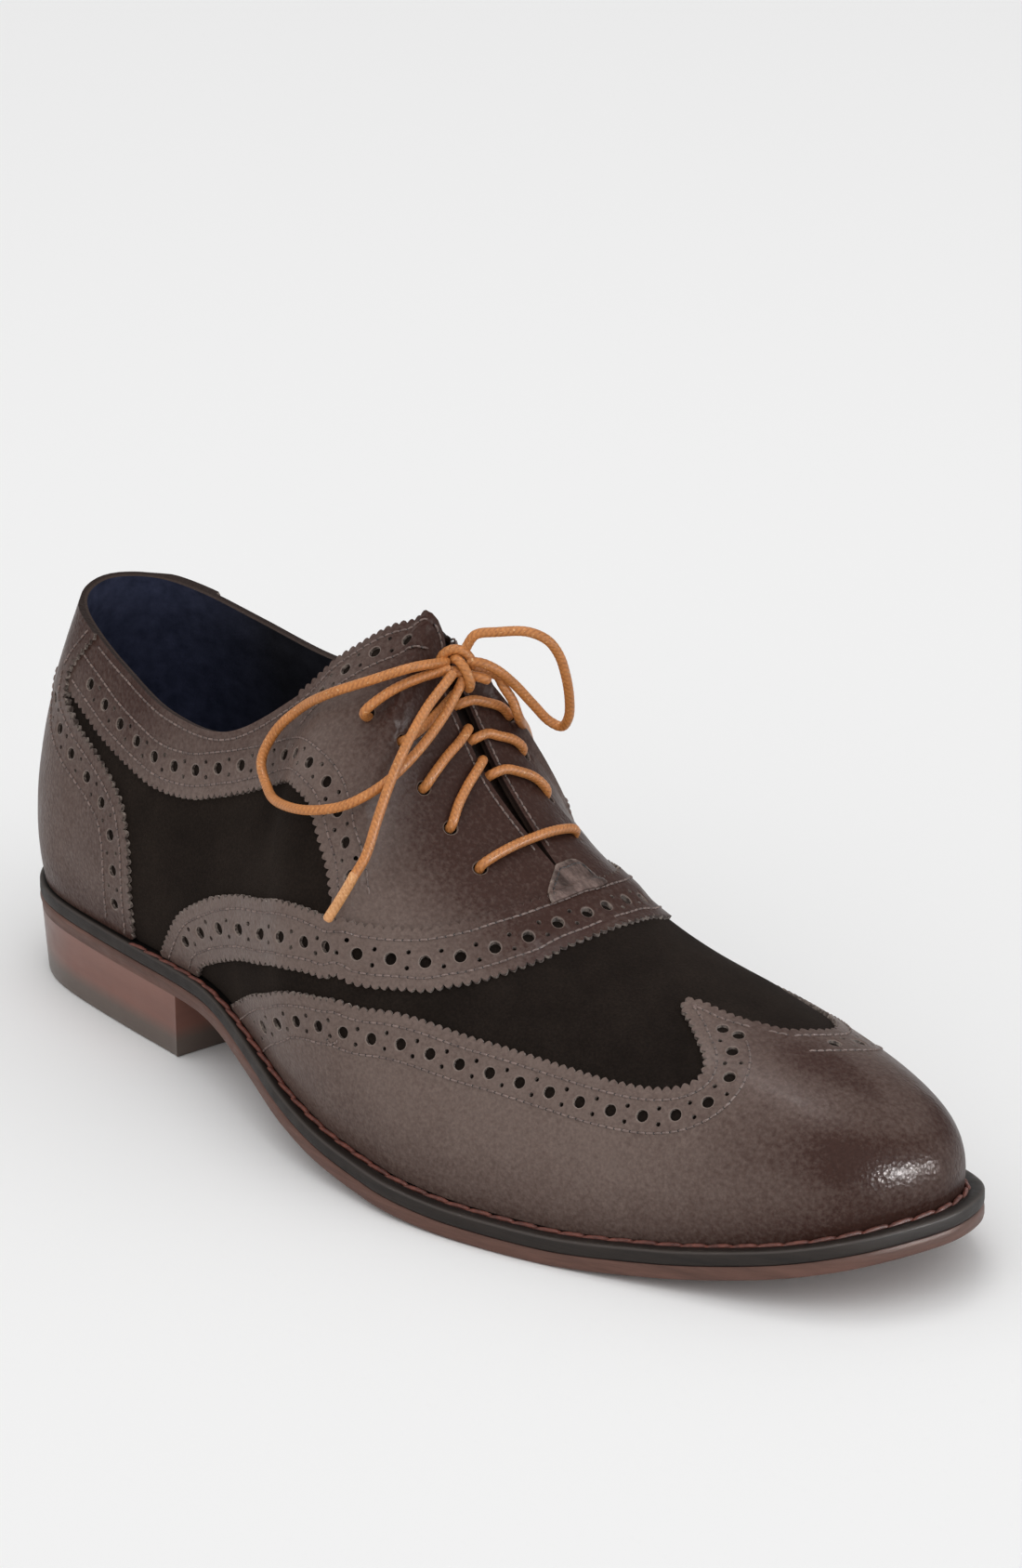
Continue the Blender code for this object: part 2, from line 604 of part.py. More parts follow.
# Upper and its overlays
overlay("upper", (WHOLE_SIDE,), WALL, WALL_OFFSET, SUEDE)
tongue("tongue", TONGUE_OFFSET, TONGUE_THICK, TONGUE_LEATHER)
wing = (WING_SIDE, WING_PEAK, WING_TOE)
overlay("wing_cap", wing, OVERLAY, OVERLAY_OFFSET, LEATHER, (WING_CORNER,))
overlay("vamp_band", (BAND,), OVERLAY, OVERLAY_OFFSET, LEATHER)
overlay("quarter_lateral", (QUARTER,), OVERLAY, OVERLAY_OFFSET, LEATHER, sides=(False,))
overlay("quarter_medial", (QUARTER,), OVERLAY, OVERLAY_OFFSET, LEATHER, sides=(True,))
counter = (COUNTER_BACK, COUNTER_SIDE, COUNTER_TOP)
overlay("heel_counter", counter, OVERLAY, OVERLAY_OFFSET, LEATHER, (COUNTER_CORNER,))

# Laces
for number, bar in enumerate(BARS, 1):
    lace("lace_row_%d" % number, on_wall((t, v, LACE_LIFT) for t, v in bar))
lace("lace_top_near", TOP_NEAR)
lace("lace_top_far", TOP_FAR)
lace("lace_loop_near", LOOP_NEAR)
lace("lace_loop_far", LOOP_FAR)
lace("lace_end_near", END_NEAR)
lace("lace_tip_near", TIP_NEAR, AGLET_RADIUS)
lace("lace_end_far", list(END_FAR) + on_wall(END_FAR_WALL))
lace("lace_tip_far", on_wall(TIP_FAR_WALL), AGLET_RADIUS)
ball = bmesh.new()
bmesh.ops.create_uvsphere(ball, u_segments=10, v_segments=8, radius=MM)
bmesh.ops.scale(ball, vec=KNOT_SIZE, verts=ball.verts)
bmesh.ops.translate(ball, vec=tuple(place(KNOT_PLACE)), verts=ball.verts)
knot = bpy.data.meshes.new("lace_knot")
ball.to_mesh(knot)
ball.free()
node("lace_knot", knot, LACE_TAN)
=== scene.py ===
"""Looks of the wingtip oxford: punched and pinked leather over a suede shell, welted sole, waxed laces.

Lengths in the tables are millimetres, as in the part's source: x from the heel's back to the toe,
y across (lateral side negative), z up from the floor. Places on the upper are rows round the shoe
and heights on its wall.
"""

import math

import bmesh
import bpy
import numpy as np
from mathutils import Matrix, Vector


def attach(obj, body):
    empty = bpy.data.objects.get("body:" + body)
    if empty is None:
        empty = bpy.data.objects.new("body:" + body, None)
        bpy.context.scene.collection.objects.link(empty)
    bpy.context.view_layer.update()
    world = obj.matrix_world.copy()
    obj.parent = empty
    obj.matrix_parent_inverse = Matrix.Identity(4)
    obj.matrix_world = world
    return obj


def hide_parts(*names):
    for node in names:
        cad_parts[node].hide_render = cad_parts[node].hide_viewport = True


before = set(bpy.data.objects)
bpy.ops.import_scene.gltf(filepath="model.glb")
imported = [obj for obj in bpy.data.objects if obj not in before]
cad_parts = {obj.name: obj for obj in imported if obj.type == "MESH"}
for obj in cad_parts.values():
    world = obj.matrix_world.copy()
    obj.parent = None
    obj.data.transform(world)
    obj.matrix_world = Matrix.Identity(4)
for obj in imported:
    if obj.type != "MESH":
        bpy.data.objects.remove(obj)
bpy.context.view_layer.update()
MM = 0.001

# Sizes shared with the part's source
SOLE_LENGTH = 302.0
COUNTER_BULGE = 0.8
X_MID = (SOLE_LENGTH - COUNTER_BULGE) / 2
Y_MID = -7.4
OUTSOLE_THICK = 3.7
SOLE_THICK = 7.45
GAP = 0.3
HEEL_HEIGHT = 17.6
TOPLIFT_THICK = 6.0
HEEL_BREAST_X = 79.7
HEEL_BREAST_SKEW = 6.0
HEEL_TAPER_TOP = 0.5
HEEL_TAPER_FOOT = 1.9
LACE_RADIUS = 1.25
AGLET_RADIUS = 1.27

# One row for each section from the heel's back to the toe: the sole's outline (x, lat, med), how far
# the upper stands in from it, the top edge or ridge (place along, middle, half opening, height),
# the wall's lean and pull at its foot, and its turn and pull at its head
SECTION = (
    "x", "lat", "med", "inset", "top_x", "top_mid", "top_half", "top_z", "lean", "foot", "turn", "head",
)
SECTIONS = (
    (0.0, -2.0, -2.0, 2.0, 9.4, -2.3, 0.0, 99.6, 12, 0.34, 20, 0.34),
    (3.0, -15.5, 11.5, 2.0, 11.4, -2.2, 8.0, 98.9, 12, 0.34, 20, 0.34),
    (10.0, -26.4, 21.0, 2.0, 17.2, -1.9, 14.3, 97.6, 12, 0.34, 19, 0.34),
    (22.0, -33.5, 28.0, 2.0, 27.2, -1.5, 18.9, 95.0, 12, 0.34, 18, 0.36),
    (40.0, -37.0, 32.0, 2.2, 42.5, -1.3, 22.9, 91.0, 13, 0.34, 17, 0.36),
    (65.0, -39.7, 31.5, 2.6, 65.0, -1.7, 26.9, 86.8, 14, 0.34, 16, 0.36),
    (95.0, -43.8, 28.0, 3.2, 88.0, -1.9, 27.5, 88.6, 16, 0.36, 18, 0.36),
    (125.0, -53.4, 27.0, 4.0, 106.5, -2.2, 21.2, 101.5, 16, 0.38, 28, 0.34),
    (140.0, -57.8, 29.0, 4.5, 117.5, -2.6, 13.2, 114.5, 16, 0.39, 34, 0.30),
    (155.0, -60.4, 32.0, 5.0, 131.0, -2.8, 2.5, 122.5, 14, 0.40, 34, 0.22),
    (170.0, -61.4, 36.6, 5.3, 143.5, -2.7, 2.2, 104.0, 12, 0.40, 34, 0.22),
    (185.0, -61.2, 41.0, 5.5, 157.0, -2.4, 1.9, 87.0, 10, 0.40, 34, 0.26),
    (210.0, -56.3, 46.0, 5.5, 181.0, -1.4, 0.0, 69.0, 8, 0.40, 34, 0.36),
    (235.0, -47.8, 46.5, 5.5, 206.0, -1.4, 0.0, 61.0, 8, 0.42, 34, 0.42),
    (260.0, -37.4, 43.0, 5.5, 229.0, -1.2, 0.0, 55.4, 8, 0.44, 34, 0.46),
    (280.0, -27.6, 36.0, 5.5, 247.0, 0.4, 0.0, 51.8, 8, 0.45, 34, 0.48),
    (293.0, -16.4, 27.5, 5.5, 260.0, 2.4, 0.0, 49.2, 8, 0.46, 34, 0.50),
    (299.5, -4.0, 18.0, 5.5, 268.0, 4.0, 0.0, 47.2, 8, 0.46, 34, 0.50),
    (302.0, 7.6, 7.6, 5.5, 273.0, 5.2, 0.0, 45.8, 8, 0.46, 34, 0.50),
)
TOE = len(SECTIONS) - 1
LOOP = 2 * TOE
COLLAR_END = 7.4
RIDGE_START = 9.2
SLIT_END = 12
NORMAL_LIMIT = 0.96
# How near a row or a height counts as the line itself
ROW_TOL = 1e-6
LINE_TOL = 1e-5
SEAM_TOL = 1e-4
# Facings' corners moved as in the photo: side, row, width and shift
CORNERS = (
    (-1, 9.17, 0.17, (0, 0, 5.2)), (-1, 9.34, 0.22, (1.2, 2.2, 0)),
    (1, 8.6, 0.6, (0, 0, -7.0)), (1, 9.28, 0.13, (1.4, 1.4, 2.2)),
)

# Soft troughs and ridges: from and to as rows and heights, half width and depth in mm
CREASES = (
    ((9.45, 0.42), (10.30, 0.66), 5.0, -0.50), ((10.20, 0.50), (10.95, 0.74), 4.5, -0.40),
    ((9.75, 0.40), (10.65, 0.66), 3.5, 0.30), ((6.50, 0.50), (7.40, 0.66), 7.0, -0.55),
    ((7.20, 0.50), (8.00, 0.60), 6.0, 0.35), ((11.30, 0.52), (12.60, 0.62), 6.0, -0.35),
    ((11.70, 0.50), (12.95, 0.60), 5.0, 0.25), ((12.60, 0.72), (13.10, 0.96), 5.0, -0.30),
    ((8.90, 0.08), (11.20, 0.18), 8.0, 0.40), ((3.60, 0.20), (3.90, 0.50), 8.0, -0.40),
)
CREASE_SCALE = (22.0, 95.0)

# Slope of the ridge from the facing's top to the toe: row of the table, rise for each mm forward
RIDGE_SLOPE = (
    (8, -1.20), (9, -1.30), (10, -1.35), (11, -1.00), (12, -0.45), (13, -0.28),
    (14, -0.22), (15, -0.20), (16, -0.22), (17, -0.26), (18, -0.28),
)

# Underside of the sole: x, z (seat on the heel, shank, flat tread, toe spring)
SOLE_PROFILE = (
    (0, 17.6), (88, 17.6), (118, 12.6), (154, 4.4), (182, 0.9),
    (200, 0.0), (222, 0.0), (250, 2.4), (275, 7.0), (302, 14.0),
)

# Panel edges on the upper, as rows and heights
WING_EDGE = (
    (6.25, 0.0), (6.44, 0.065), (6.66, 0.125), (7.02, 0.183), (7.56, 0.217), (8.14, 0.230), (8.44, 0.232),
    (8.70, 0.233), (8.95, 0.234), (9.16, 0.236), (9.36, 0.250), (9.62, 0.268), (10.26, 0.315),
    (10.92, 0.360), (11.26, 0.384), (11.54, 0.405), (11.90, 0.433), (12.26, 0.453), (12.62, 0.467),
    (13.00, 0.478), (13.34, 0.494), (13.58, 0.516), (13.80, 0.555), (13.97, 0.610), (14.04, 0.670),
    (14.03, 0.727), (13.93, 0.785), (13.82, 0.835), (13.68, 0.875),
)
WING_CROSS = ((13.68, 0.875), (13.72, 0.918), (13.90, 0.942), (14.16, 0.955), (14.45, 0.975), (14.70, 1.0))
WING_CROSS_FAR = ((14.70, 1.0), (14.82, 0.96), (14.86, 0.915))
WING_EDGE_FAR = (
    (14.86, 0.915), (14.74, 0.85), (14.60, 0.775), (14.42, 0.70), (14.20, 0.64), (13.90, 0.585),
    (13.57, 0.54), (13.20, 0.505), (12.70, 0.48), (11.97, 0.445), (11.16, 0.38), (10.6, 0.34),
    (9.79, 0.29), (9.07, 0.25), (8.35, 0.235), (7.60, 0.218), (7.04, 0.18), (6.60, 0.105), (6.25, 0.0),
)
BAND_TOP = (
    (5.22, 0.0), (5.38, 0.110), (5.52, 0.200), (5.64, 0.255), (5.88, 0.322), (6.16, 0.385), (6.46, 0.423),
    (6.78, 0.439), (7.28, 0.438), (8.02, 0.415), (8.40, 0.394), (8.62, 0.382), (8.84, 0.373), (9.14, 0.366),
    (9.38, 0.389), (9.76, 0.430), (10.26, 0.480), (10.62, 0.520), (10.94, 0.570), (11.22, 0.635),
    (11.36, 0.680), (11.62, 0.777), (11.80, 0.860), (11.94, 0.930), (12.06, 1.0),
)
BAND_FOOT = (
    (5.69, 0.0), (5.80, 0.070), (5.98, 0.125), (6.18, 0.180), (6.56, 0.253), (7.00, 0.288), (7.64, 0.300),
    (8.26, 0.290), (8.64, 0.284), (9.04, 0.281), (9.40, 0.300), (9.82, 0.335), (10.24, 0.370),
    (10.64, 0.405), (10.96, 0.440), (11.22, 0.490), (11.44, 0.540), (11.68, 0.610), (11.84, 0.665),
    (12.02, 0.730), (12.20, 0.815), (12.42, 0.910), (12.60, 1.0),
)
COLLAR_FOOT = (
    (2.70, 0.765), (3.35, 0.755), (4.0, 0.73), (4.54, 0.72), (5.06, 0.715), (5.58, 0.74), (6.08, 0.772),
    (6.5, 0.77), (6.91, 0.755), (7.35, 0.738), (7.75, 0.705), (7.99, 0.675), (8.32, 0.61),
    (8.46, 0.565), (8.62, 0.51), (8.82, 0.455), (8.95, 0.41),
)
FACING_FOOT = (
    (8.95, 0.41), (9.0, 0.355), (9.34, 0.375), (10.01, 0.445), (10.6, 0.505), (11.0, 0.57),
    (11.36, 0.655), (11.62, 0.75), (11.83, 0.85), (11.94, 0.93), (11.97, 1.0),
)
COUNTER_FRONT = (
    (4.74, 0.0), (4.77, 0.055), (4.77, 0.285), (4.70, 0.425), (4.52, 0.545), (4.27, 0.60), (3.85, 0.645),
    (3.08, 0.69), (2.70, 0.73), (2.56, 0.805),
)
COUNTER_TOP = ((2.56, 0.805), (2.70, 0.87), (2.92, 0.94), (3.12, 1.0))
FACING_TOP = (7.06, 9.14)
EYELETS = ((11.16, 0.78), (10.60, 0.77), (9.94, 0.75), (9.34, 0.72), (8.78, 0.755))
EYELETS_FAR = ((11.08, 0.76), (10.45, 0.735), (9.84, 0.735), (9.42, 0.745), (8.78, 0.755))

# Punching and sewing
PINK_PITCH = 2.3
PINK_DEPTH = 1.15
TOOTH = (0.0, 0.72, 1.0, 0.72)
BAND_HOLE = 1.5
BAND_PITCH = 8.5
PIN_HOLE = 0.6
PIN_SPREAD = 1.9
HOLE_CORNERS = 14
PIN_CORNERS = 8
HOLE_ROOM = 0.66
PIN_ROOM = 0.7
HOLE_ROW = 6.2
HOLE_MARGIN = 0.5
# Stretch of the pattern at the waist, with the rows and heights over which it comes and goes
WAIST_STRETCH = 0.34
WAIST_FROM = (5.3, 6.3)
WAIST_TO = (7.7, 8.5)
WAIST_TOP = (0.45, 0.62)
HOLE_RING = 0.42
RING_SINK = 0.22
SEAM_NEAR = 2.3
SEAM_FAR = 10.2
TOP_SEAM = 2.0
SLIT_SEAM = 1.7
FACING_SEAM = 9.4
STITCH_PITCH = 2.05
STITCH_RADIUS = 0.27
STITCH_SHAPE = (0.12, 0.36, 0.70, 0.94)
STITCH_BOW = (-0.18, 0.10, 0.10, -0.18)
NEEDLE_RADIUS = 0.33
EYELET_HOLE = 1.75
SUEDE_LIFT = -0.5
LINING_LIFT = -2.4
RIM_TAPER = 1.1
LEATHER_LIFT = 0.5
OVERLAP_LIFT = 0.95

# Free stretches of the lace: x, y, z along each route
TOP_NEAR = ((137.3, -28.6, 108.6), (139.9, -22.8, 113.0), (142.3, -15.4, 115.2), (144.5, -7.5, 116.1))
TOP_FAR_WALL = ((27.22, 0.765, 1.3), (27.15, 0.805, 1.7))
TOP_FAR = ((139.6, 8.3, 107.9), (141.8, 5.2, 110.0), (143.4, 2.0, 111.7))
LOOP_NEAR = (
    (143.2, -7.0, 117.4), (142.3, -17.5, 118.6), (136.0, -26.0, 115.6), (126.5, -30.6, 110.6),
    (116.0, -30.4, 103.6), (109.1, -32.6, 96.0), (107.1, -35.4, 88.6), (112.9, -38.8, 84.6),
    (123.6, -44.6, 85.4), (136.7, -46.5, 88.0), (145.0, -43.0, 90.6), (149.5, -38.6, 93.8),
    (151.5, -33.0, 97.0), (151.4, -23.1, 102.2), (149.0, -12.4, 108.0), (147.3, -5.5, 113.7),
)
LOOP_FAR = (
    (145.6, -3.2, 120.6), (147.8, -2.0, 124.4), (152.2, 1.0, 125.6), (157.7, 6.0, 125.9),
    (160.9, 9.4, 123.8), (162.0, 12.2, 119.6), (162.3, 14.2, 113.9), (161.6, 16.2, 106.6),
    (160.2, 17.2, 101.2), (157.6, 17.4, 98.0), (154.9, 16.0, 98.9), (153.0, 12.0, 104.1),
    (151.6, 7.0, 110.4), (150.6, 2.0, 115.2), (148.8, -1.2, 117.2), (146.4, -3.4, 117.4),
)
END_NEAR = (
    (147.1, -8.7, 116.0), (149.6, -20.1, 110.3), (152.8, -30.9, 102.4), (153.8, -36.4, 95.2),
    (154.9, -40.7, 89.0), (156.0, -45.5, 81.5), (155.6, -49.2, 77.0),
)
TIP_NEAR = ((155.7, -48.3, 78.4), (155.5, -49.6, 76.4), (154.4, -52.4, 71.8), (153.2, -55.6, 67.0))
END_FAR = (
    (145.9, -2.6, 114.6), (146.9, 2.2, 113.0), (147.4, 5.5, 111.6), (149.2, 5.8, 109.4), (150.8, 7.6, 105.2),
    (151.5, 8.6, 101.5),
)
END_FAR_WALL = ((27.1, 0.64, 3.0), (27.4, 0.58, 2.5), (27.6, 0.52, 2.5), (27.7, 0.46, 2.5))
TIP_FAR_WALL = ((27.695, 0.472, 2.5), (27.705, 0.45, 2.5), (27.71, 0.405, 2.5), (27.71, 0.36, 2.5))

# Lace bars, of two strands each over the first: rows, heights (over 1 across the slit) and lifts
BARS = (
    (((11.16, 0.78, -2.6), (11.165, 0.785, 1.0), (11.25, 0.83, 2.0), (11.39, 0.915, 2.1), (11.50, 0.985, 2.2),
      (24.52, 0.975, 2.2), (24.66, 0.895, 2.1), (24.82, 0.81, 2.0), (24.91, 0.77, 0.9),
      (24.92, 0.76, -2.6)),),
    (((10.60, 0.77, -2.6), (10.60, 0.775, 1.0), (10.57, 0.82, 2.0), (10.59, 0.88, 2.1), (10.64, 0.955, 2.2),
      (10.66, 1.10, 1.6), (10.66, 1.30, -1.5)),
     ((10.83, 1.15, -2.2), (10.84, 1.30, 1.2), (25.19, 0.985, 2.0), (25.32, 0.91, 2.1), (25.48, 0.82, 2.0),
      (25.54, 0.755, 0.9), (25.55, 0.735, -2.6))),
    (((9.94, 0.75, -2.6), (9.945, 0.755, 1.0), (9.99, 0.79, 2.0), (10.08, 0.855, 2.1), (10.20, 0.94, 2.2),
      (10.25, 1.10, 1.6), (10.26, 1.30, -1.5)),
     ((10.38, 1.10, -2.2), (10.385, 1.25, 1.0), (25.66, 0.985, 2.0), (25.78, 0.92, 2.1), (25.98, 0.83, 2.0),
      (26.13, 0.76, 0.9), (26.16, 0.735, -2.6))),
    (((9.34, 0.72, -2.6), (9.345, 0.725, 1.0), (9.45, 0.78, 2.0), (9.66, 0.875, 2.1), (9.80, 0.97, 2.2),
      (9.84, 1.20, 1.0), (9.85, 1.40, -2.6)),
     ((9.94, 1.10, -2.2), (9.95, 1.25, 1.2), (26.08, 0.985, 2.0), (26.25, 0.90, 2.1), (26.45, 0.81, 1.9),
      (26.56, 0.755, 0.9), (26.58, 0.745, -2.6))),
)

# Camera fitted to the photograph
CAMERA_PLACE = (1463.9, -1213.3, 847.2)
CAMERA_TURN = 47.1
CAMERA_TILT = 23.07
CAMERA_LENS = 183.98


# Curves and directions

def cubic(first, last, leave, arrive, f):
    """Cubic from a first value to a last one, with the slopes at which it leaves and arrives."""
    start = first * (1 + 2 * f) * (1 - f) ** 2 + leave * f * (1 - f) ** 2
    return start + last * f * f * (3 - 2 * f) + arrive * f * f * (f - 1)


def rise(value, low, high):
    """Soft step from 0 to 1 between two values."""
    f = np.clip((value - low) / (high - low), 0, 1)
    return f * f * (3 - 2 * f)


def unit(vectors):
    return vectors / np.linalg.norm(vectors, axis=-1, keepdims=True)


def apart(points):
    """Distance from each point to the next."""
    return np.linalg.norm(np.diff(points, axis=0), axis=1)


def running(steps):
    """Length run at each point, from the length of each step."""
    return np.concatenate([[0], np.cumsum(steps)])


def pick(curve, run, at):
    """Places on a curve at given lengths along it."""
    return np.stack([np.interp(at, run, column) for column in curve.T], -1)


def through(points, gaps, count):
    """Smooth curve through points, paced by the square roots of the gaps between them."""
    reach = running(np.sqrt(gaps))
    slope = np.gradient(points, reach, axis=0)
    s = np.linspace(0, reach[-1], count)
    k = np.clip(np.searchsorted(reach, s, side="right") - 1, 0, len(points) - 2)
    width = (reach[k + 1] - reach[k])[:, None]
    f = (s - reach[k])[:, None] / width
    return cubic(points[k], points[k + 1], slope[k] * width, slope[k + 1] * width, f)


# Form of the upper, as in the part's source

def row_of(t):
    """Row of the table, counted from the heel on either side."""
    return np.minimum(t % LOOP, LOOP - t % LOOP)


def ring(lateral, medial):
    """Values round the whole shoe: heel, lateral side, toe, medial side."""
    return np.concatenate([lateral, medial[-2:0:-1]])


COLUMN = {name: np.array([row[k] for row in SECTIONS], float) for k, name in enumerate(SECTION)}
RINGS = {name: ring(COLUMN[name], COLUMN[name]) for name in SECTION}
RINGS["y"] = ring(COLUMN["lat"], COLUMN["med"])
RINGS["open"] = ring(-COLUMN["top_half"], COLUMN["top_half"])
RIDGE = np.interp(np.arange(TOE + 1), [r[0] for r in RIDGE_SLOPE], [r[1] for r in RIDGE_SLOPE])
RINGS["slope"] = ring(RIDGE, RIDGE)


def hermite(values, slopes, t):
    """Closed curve through evenly spaced values, with given slopes."""
    count = len(values)
    t = np.asarray(t, float) % count
    i = np.floor(t).astype(int) % count
    j = (i + 1) % count
    return cubic(values[i], values[j], slopes[i], slopes[j], t - np.floor(t))


def even_slopes(values):
    """Slopes that give a closed curve through evenly spaced values an even bend."""
    count = len(values)
    i = np.arange(count)
    matrix = np.zeros((count, count))
    matrix[i, i] = 4
    matrix[i, (i + 1) % count] = 1
    matrix[i, (i - 1) % count] = 1
    return np.linalg.solve(matrix, 3 * (np.roll(values, -1) - np.roll(values, 1)))


SLOPES = {name: even_slopes(values) for name, values in RINGS.items()}


def smooth(name, t):
    """Closed curve through the rows with an even bend."""
    return hermite(RINGS[name], SLOPES[name], t)


def local(name, t):
    """Closed curve through the rows in which each row acts only on its neighbours."""
    values = RINGS[name]
    return hermite(values, (np.roll(values, -1) - np.roll(values, 1)) / 2, t)


def underside(x):
    """Height of the sole's underside, a curve through its profile with no overshoot."""
    px = np.array([r[0] for r in SOLE_PROFILE], float)
    pz = np.array([r[1] for r in SOLE_PROFILE], float)
    step = np.diff(px)
    rate = np.diff(pz) / step
    slope = np.zeros(len(px))
    for k in range(1, len(px) - 1):
        if rate[k - 1] * rate[k] > 0:
            a = 2 * step[k] + step[k - 1]
            b = step[k] + 2 * step[k - 1]
            slope[k] = (a + b) / (a / rate[k - 1] + b / rate[k])
    slope[-1] = rate[-1]
    slope[0] = rate[0]
    x = np.clip(np.asarray(x, float), px[0], px[-1])
    k = np.clip(np.searchsorted(px, x, side="right") - 1, 0, len(step) - 1)
    f = (x - px[k]) / step[k]
    return cubic(pz[k], pz[k + 1], slope[k] * step[k], slope[k + 1] * step[k], f)


def inward(t):
    """Level direction into the shoe, square to the sole's outline."""
    e = 1e-3
    t = np.asarray(t, float)
    dx = smooth("x", t + e) - smooth("x", t - e)
    dy = smooth("y", t + e) - smooth("y", t - e)
    size = np.hypot(dx, dy)
    return np.stack([-dy / size, dx / size], -1)


def outline(t, inset=0.0):
    """Sole's outline, moved in by the inset."""
    t = np.asarray(t, float)
    plan = np.stack([smooth("x", t), smooth("y", t)], -1)
    return plan + inward(t) * np.broadcast_to(np.asarray(inset, float), t.shape)[..., None]


def wall(t, v):
    """Upper's own function: row t of the table round the shoe, height v from sole to top edge."""
    t, v = np.broadcast_arrays(np.asarray(t, float), np.asarray(v, float))
    side = inward(t)
    foot = np.zeros(t.shape + (3,))
    foot[..., :2] = outline(t, smooth("inset", t))
    foot[..., 2] = underside(foot[..., 0]) + SOLE_THICK + GAP
    lateral = (t % LOOP) <= TOE
    half = local("open", t)
    half = np.where(lateral, np.minimum(half, 0), np.maximum(half, 0))
    top = np.stack([local("top_x", t), local("top_mid", t) + half, local("top_z", t)], -1)
    row = row_of(t)
    for which, at, wide, shift in CORNERS:
        share = np.exp(-(((row - at) / wide) ** 2)) * (lateral == (which < 0))
        top = top + share[..., None] * np.array(shift, float)
    across = unit((top - foot)[..., :2])
    span = np.linalg.norm(top - foot, axis=-1)
    ridge = rise(row, COLLAR_END, RIDGE_START)
    head = unit(side * (1 - ridge)[..., None] + across * ridge[..., None])
    turn = np.radians(local("turn", t)) * (1 - ridge)
    turn = turn + (math.pi / 2 - np.arctan(head[..., 0] * local("slope", t))) * ridge
    lean = np.radians(smooth("lean", t))
    pull_foot = smooth("foot", t) * span
    pull_head = local("head", t) * span
    low = foot.copy()
    low[..., :2] -= side * (np.sin(lean) * pull_foot)[..., None]
    low[..., 2] += np.cos(lean) * pull_foot
    high = top.copy()
    high[..., :2] -= head * (np.sin(turn) * pull_head)[..., None]
    high[..., 2] -= np.cos(turn) * pull_head
    v = v[..., None]
    u = 1 - v
    return u ** 3 * foot + 3 * u * u * v * low + 3 * u * v * v * high + v ** 3 * top


def normal_at(t, v):
    """Direction out of the wall."""
    et = 0.02
    ev = 0.01
    level = np.clip(v, ev, NORMAL_LIMIT)
    along = wall(t + et, level) - wall(t - et, level)
    up = wall(t, level + ev) - wall(t, level - ev)
    return unit(np.cross(along, up))


def creased(t, v):
    """Height of the creases over the plain wall."""
    row = row_of(t)
    spot = np.stack([row, v], -1) * CREASE_SCALE
    height = np.zeros(t.shape)
    for first, last, width, depth in CREASES:
        start = np.array(first) * CREASE_SCALE
        along = np.array(last) * CREASE_SCALE - start
        share = np.clip((spot - start) @ along / (along @ along), 0, 1)
        off = np.linalg.norm(spot - start - share[..., None] * along, axis=-1)
        height += depth * np.exp(-((off / width) ** 2))
    return height


def skin(t, v, lift):
    """Point of the wall moved out along its normal; past the slit both sides share the ridge."""
    t, v = np.broadcast_arrays(np.asarray(t, float), np.asarray(v, float))
    lift = np.broadcast_to(np.asarray(lift, float), t.shape) + creased(t, v)
    made = wall(t, v) + normal_at(t, v) * lift[..., None]
    row = row_of(t)
    shared = (v > 1 - ROW_TOL) & (row >= SLIT_END - ROW_TOL)
    if shared.any():
        other = wall(LOOP - t, v) + normal_at(LOOP - t, v) * lift[..., None]
        made = np.where(shared[..., None], (made + other) / 2, made)
    return made


def bridge(row, across, lift):
    """Place over the slit, by millimetres across it from its middle, the medial side positive."""
    row, across, lift = np.broadcast_arrays(*(np.asarray(a, float) for a in (row, across, lift)))
    near = wall(row, 1.0)
    far = wall(LOOP - row, 1.0)
    half = np.linalg.norm(far - near, axis=-1) / 2
    t = np.where(across > 0, LOOP - row, row)
    reach = np.abs(across) - half
    last = 0.1
    height = np.linalg.norm(wall(t, 1.0) - wall(t, 1.0 - last), axis=-1) / last
    side = skin(t, 1 - np.maximum(reach, 0) / height, lift)
    up = unit(normal_at(row, np.ones(row.shape)) + normal_at(LOOP - row, np.ones(row.shape)))
    share = np.clip(across / np.maximum(half, ROW_TOL), -1, 1)[..., None]
    middle = (near + far) / 2 + (far - near) / 2 * share + up * lift[..., None]
    return np.where((reach > 0)[..., None], side, middle)


def place(points):
    """Millimetres of the tables to metres about the middle of the sole."""
    return (np.asarray(points, float) - np.array([X_MID, Y_MID, 0.0])) * MM


# Walking on the upper's surface

TRACE_POINTS = 40
ASIDE_STEP = 1.7
PLAIN_STEP = 2.5
PIN_AHEAD = 0.2


def steps_at(t, v):
    """Size of one row along, its share in one height up, and the rest of that height, in mm.

    At the waist the pattern was stretched when the upper was drawn over the last, so that
    a row counts for less there.
    """
    et = 0.01
    ev = 0.005
    v = np.clip(v, ev, NORMAL_LIMIT)
    along = (wall(t + et, v) - wall(t - et, v)) / (2 * et)
    up = (wall(t, v + ev) - wall(t, v - ev)) / (2 * ev)
    size = np.linalg.norm(along, axis=-1)
    shear = (up * along).sum(-1) / size
    upward = np.linalg.norm(up - along * (shear / size)[..., None], axis=-1)
    waist = rise(t, *WAIST_FROM) * (1 - rise(t, *WAIST_TO)) * (1 - rise(v, *WAIST_TOP))
    drawn = 1 - WAIST_STRETCH * waist
    return size * drawn, shear * drawn, upward


def spans(curve):
    """Length of each step of a curve over the surface."""
    middle = (curve[1:] + curve[:-1]) / 2
    size, shear, upward = steps_at(middle[:, 0], middle[:, 1])
    step = np.diff(curve, axis=0)
    return np.hypot(size * step[:, 0] + shear * step[:, 1], upward * step[:, 1])


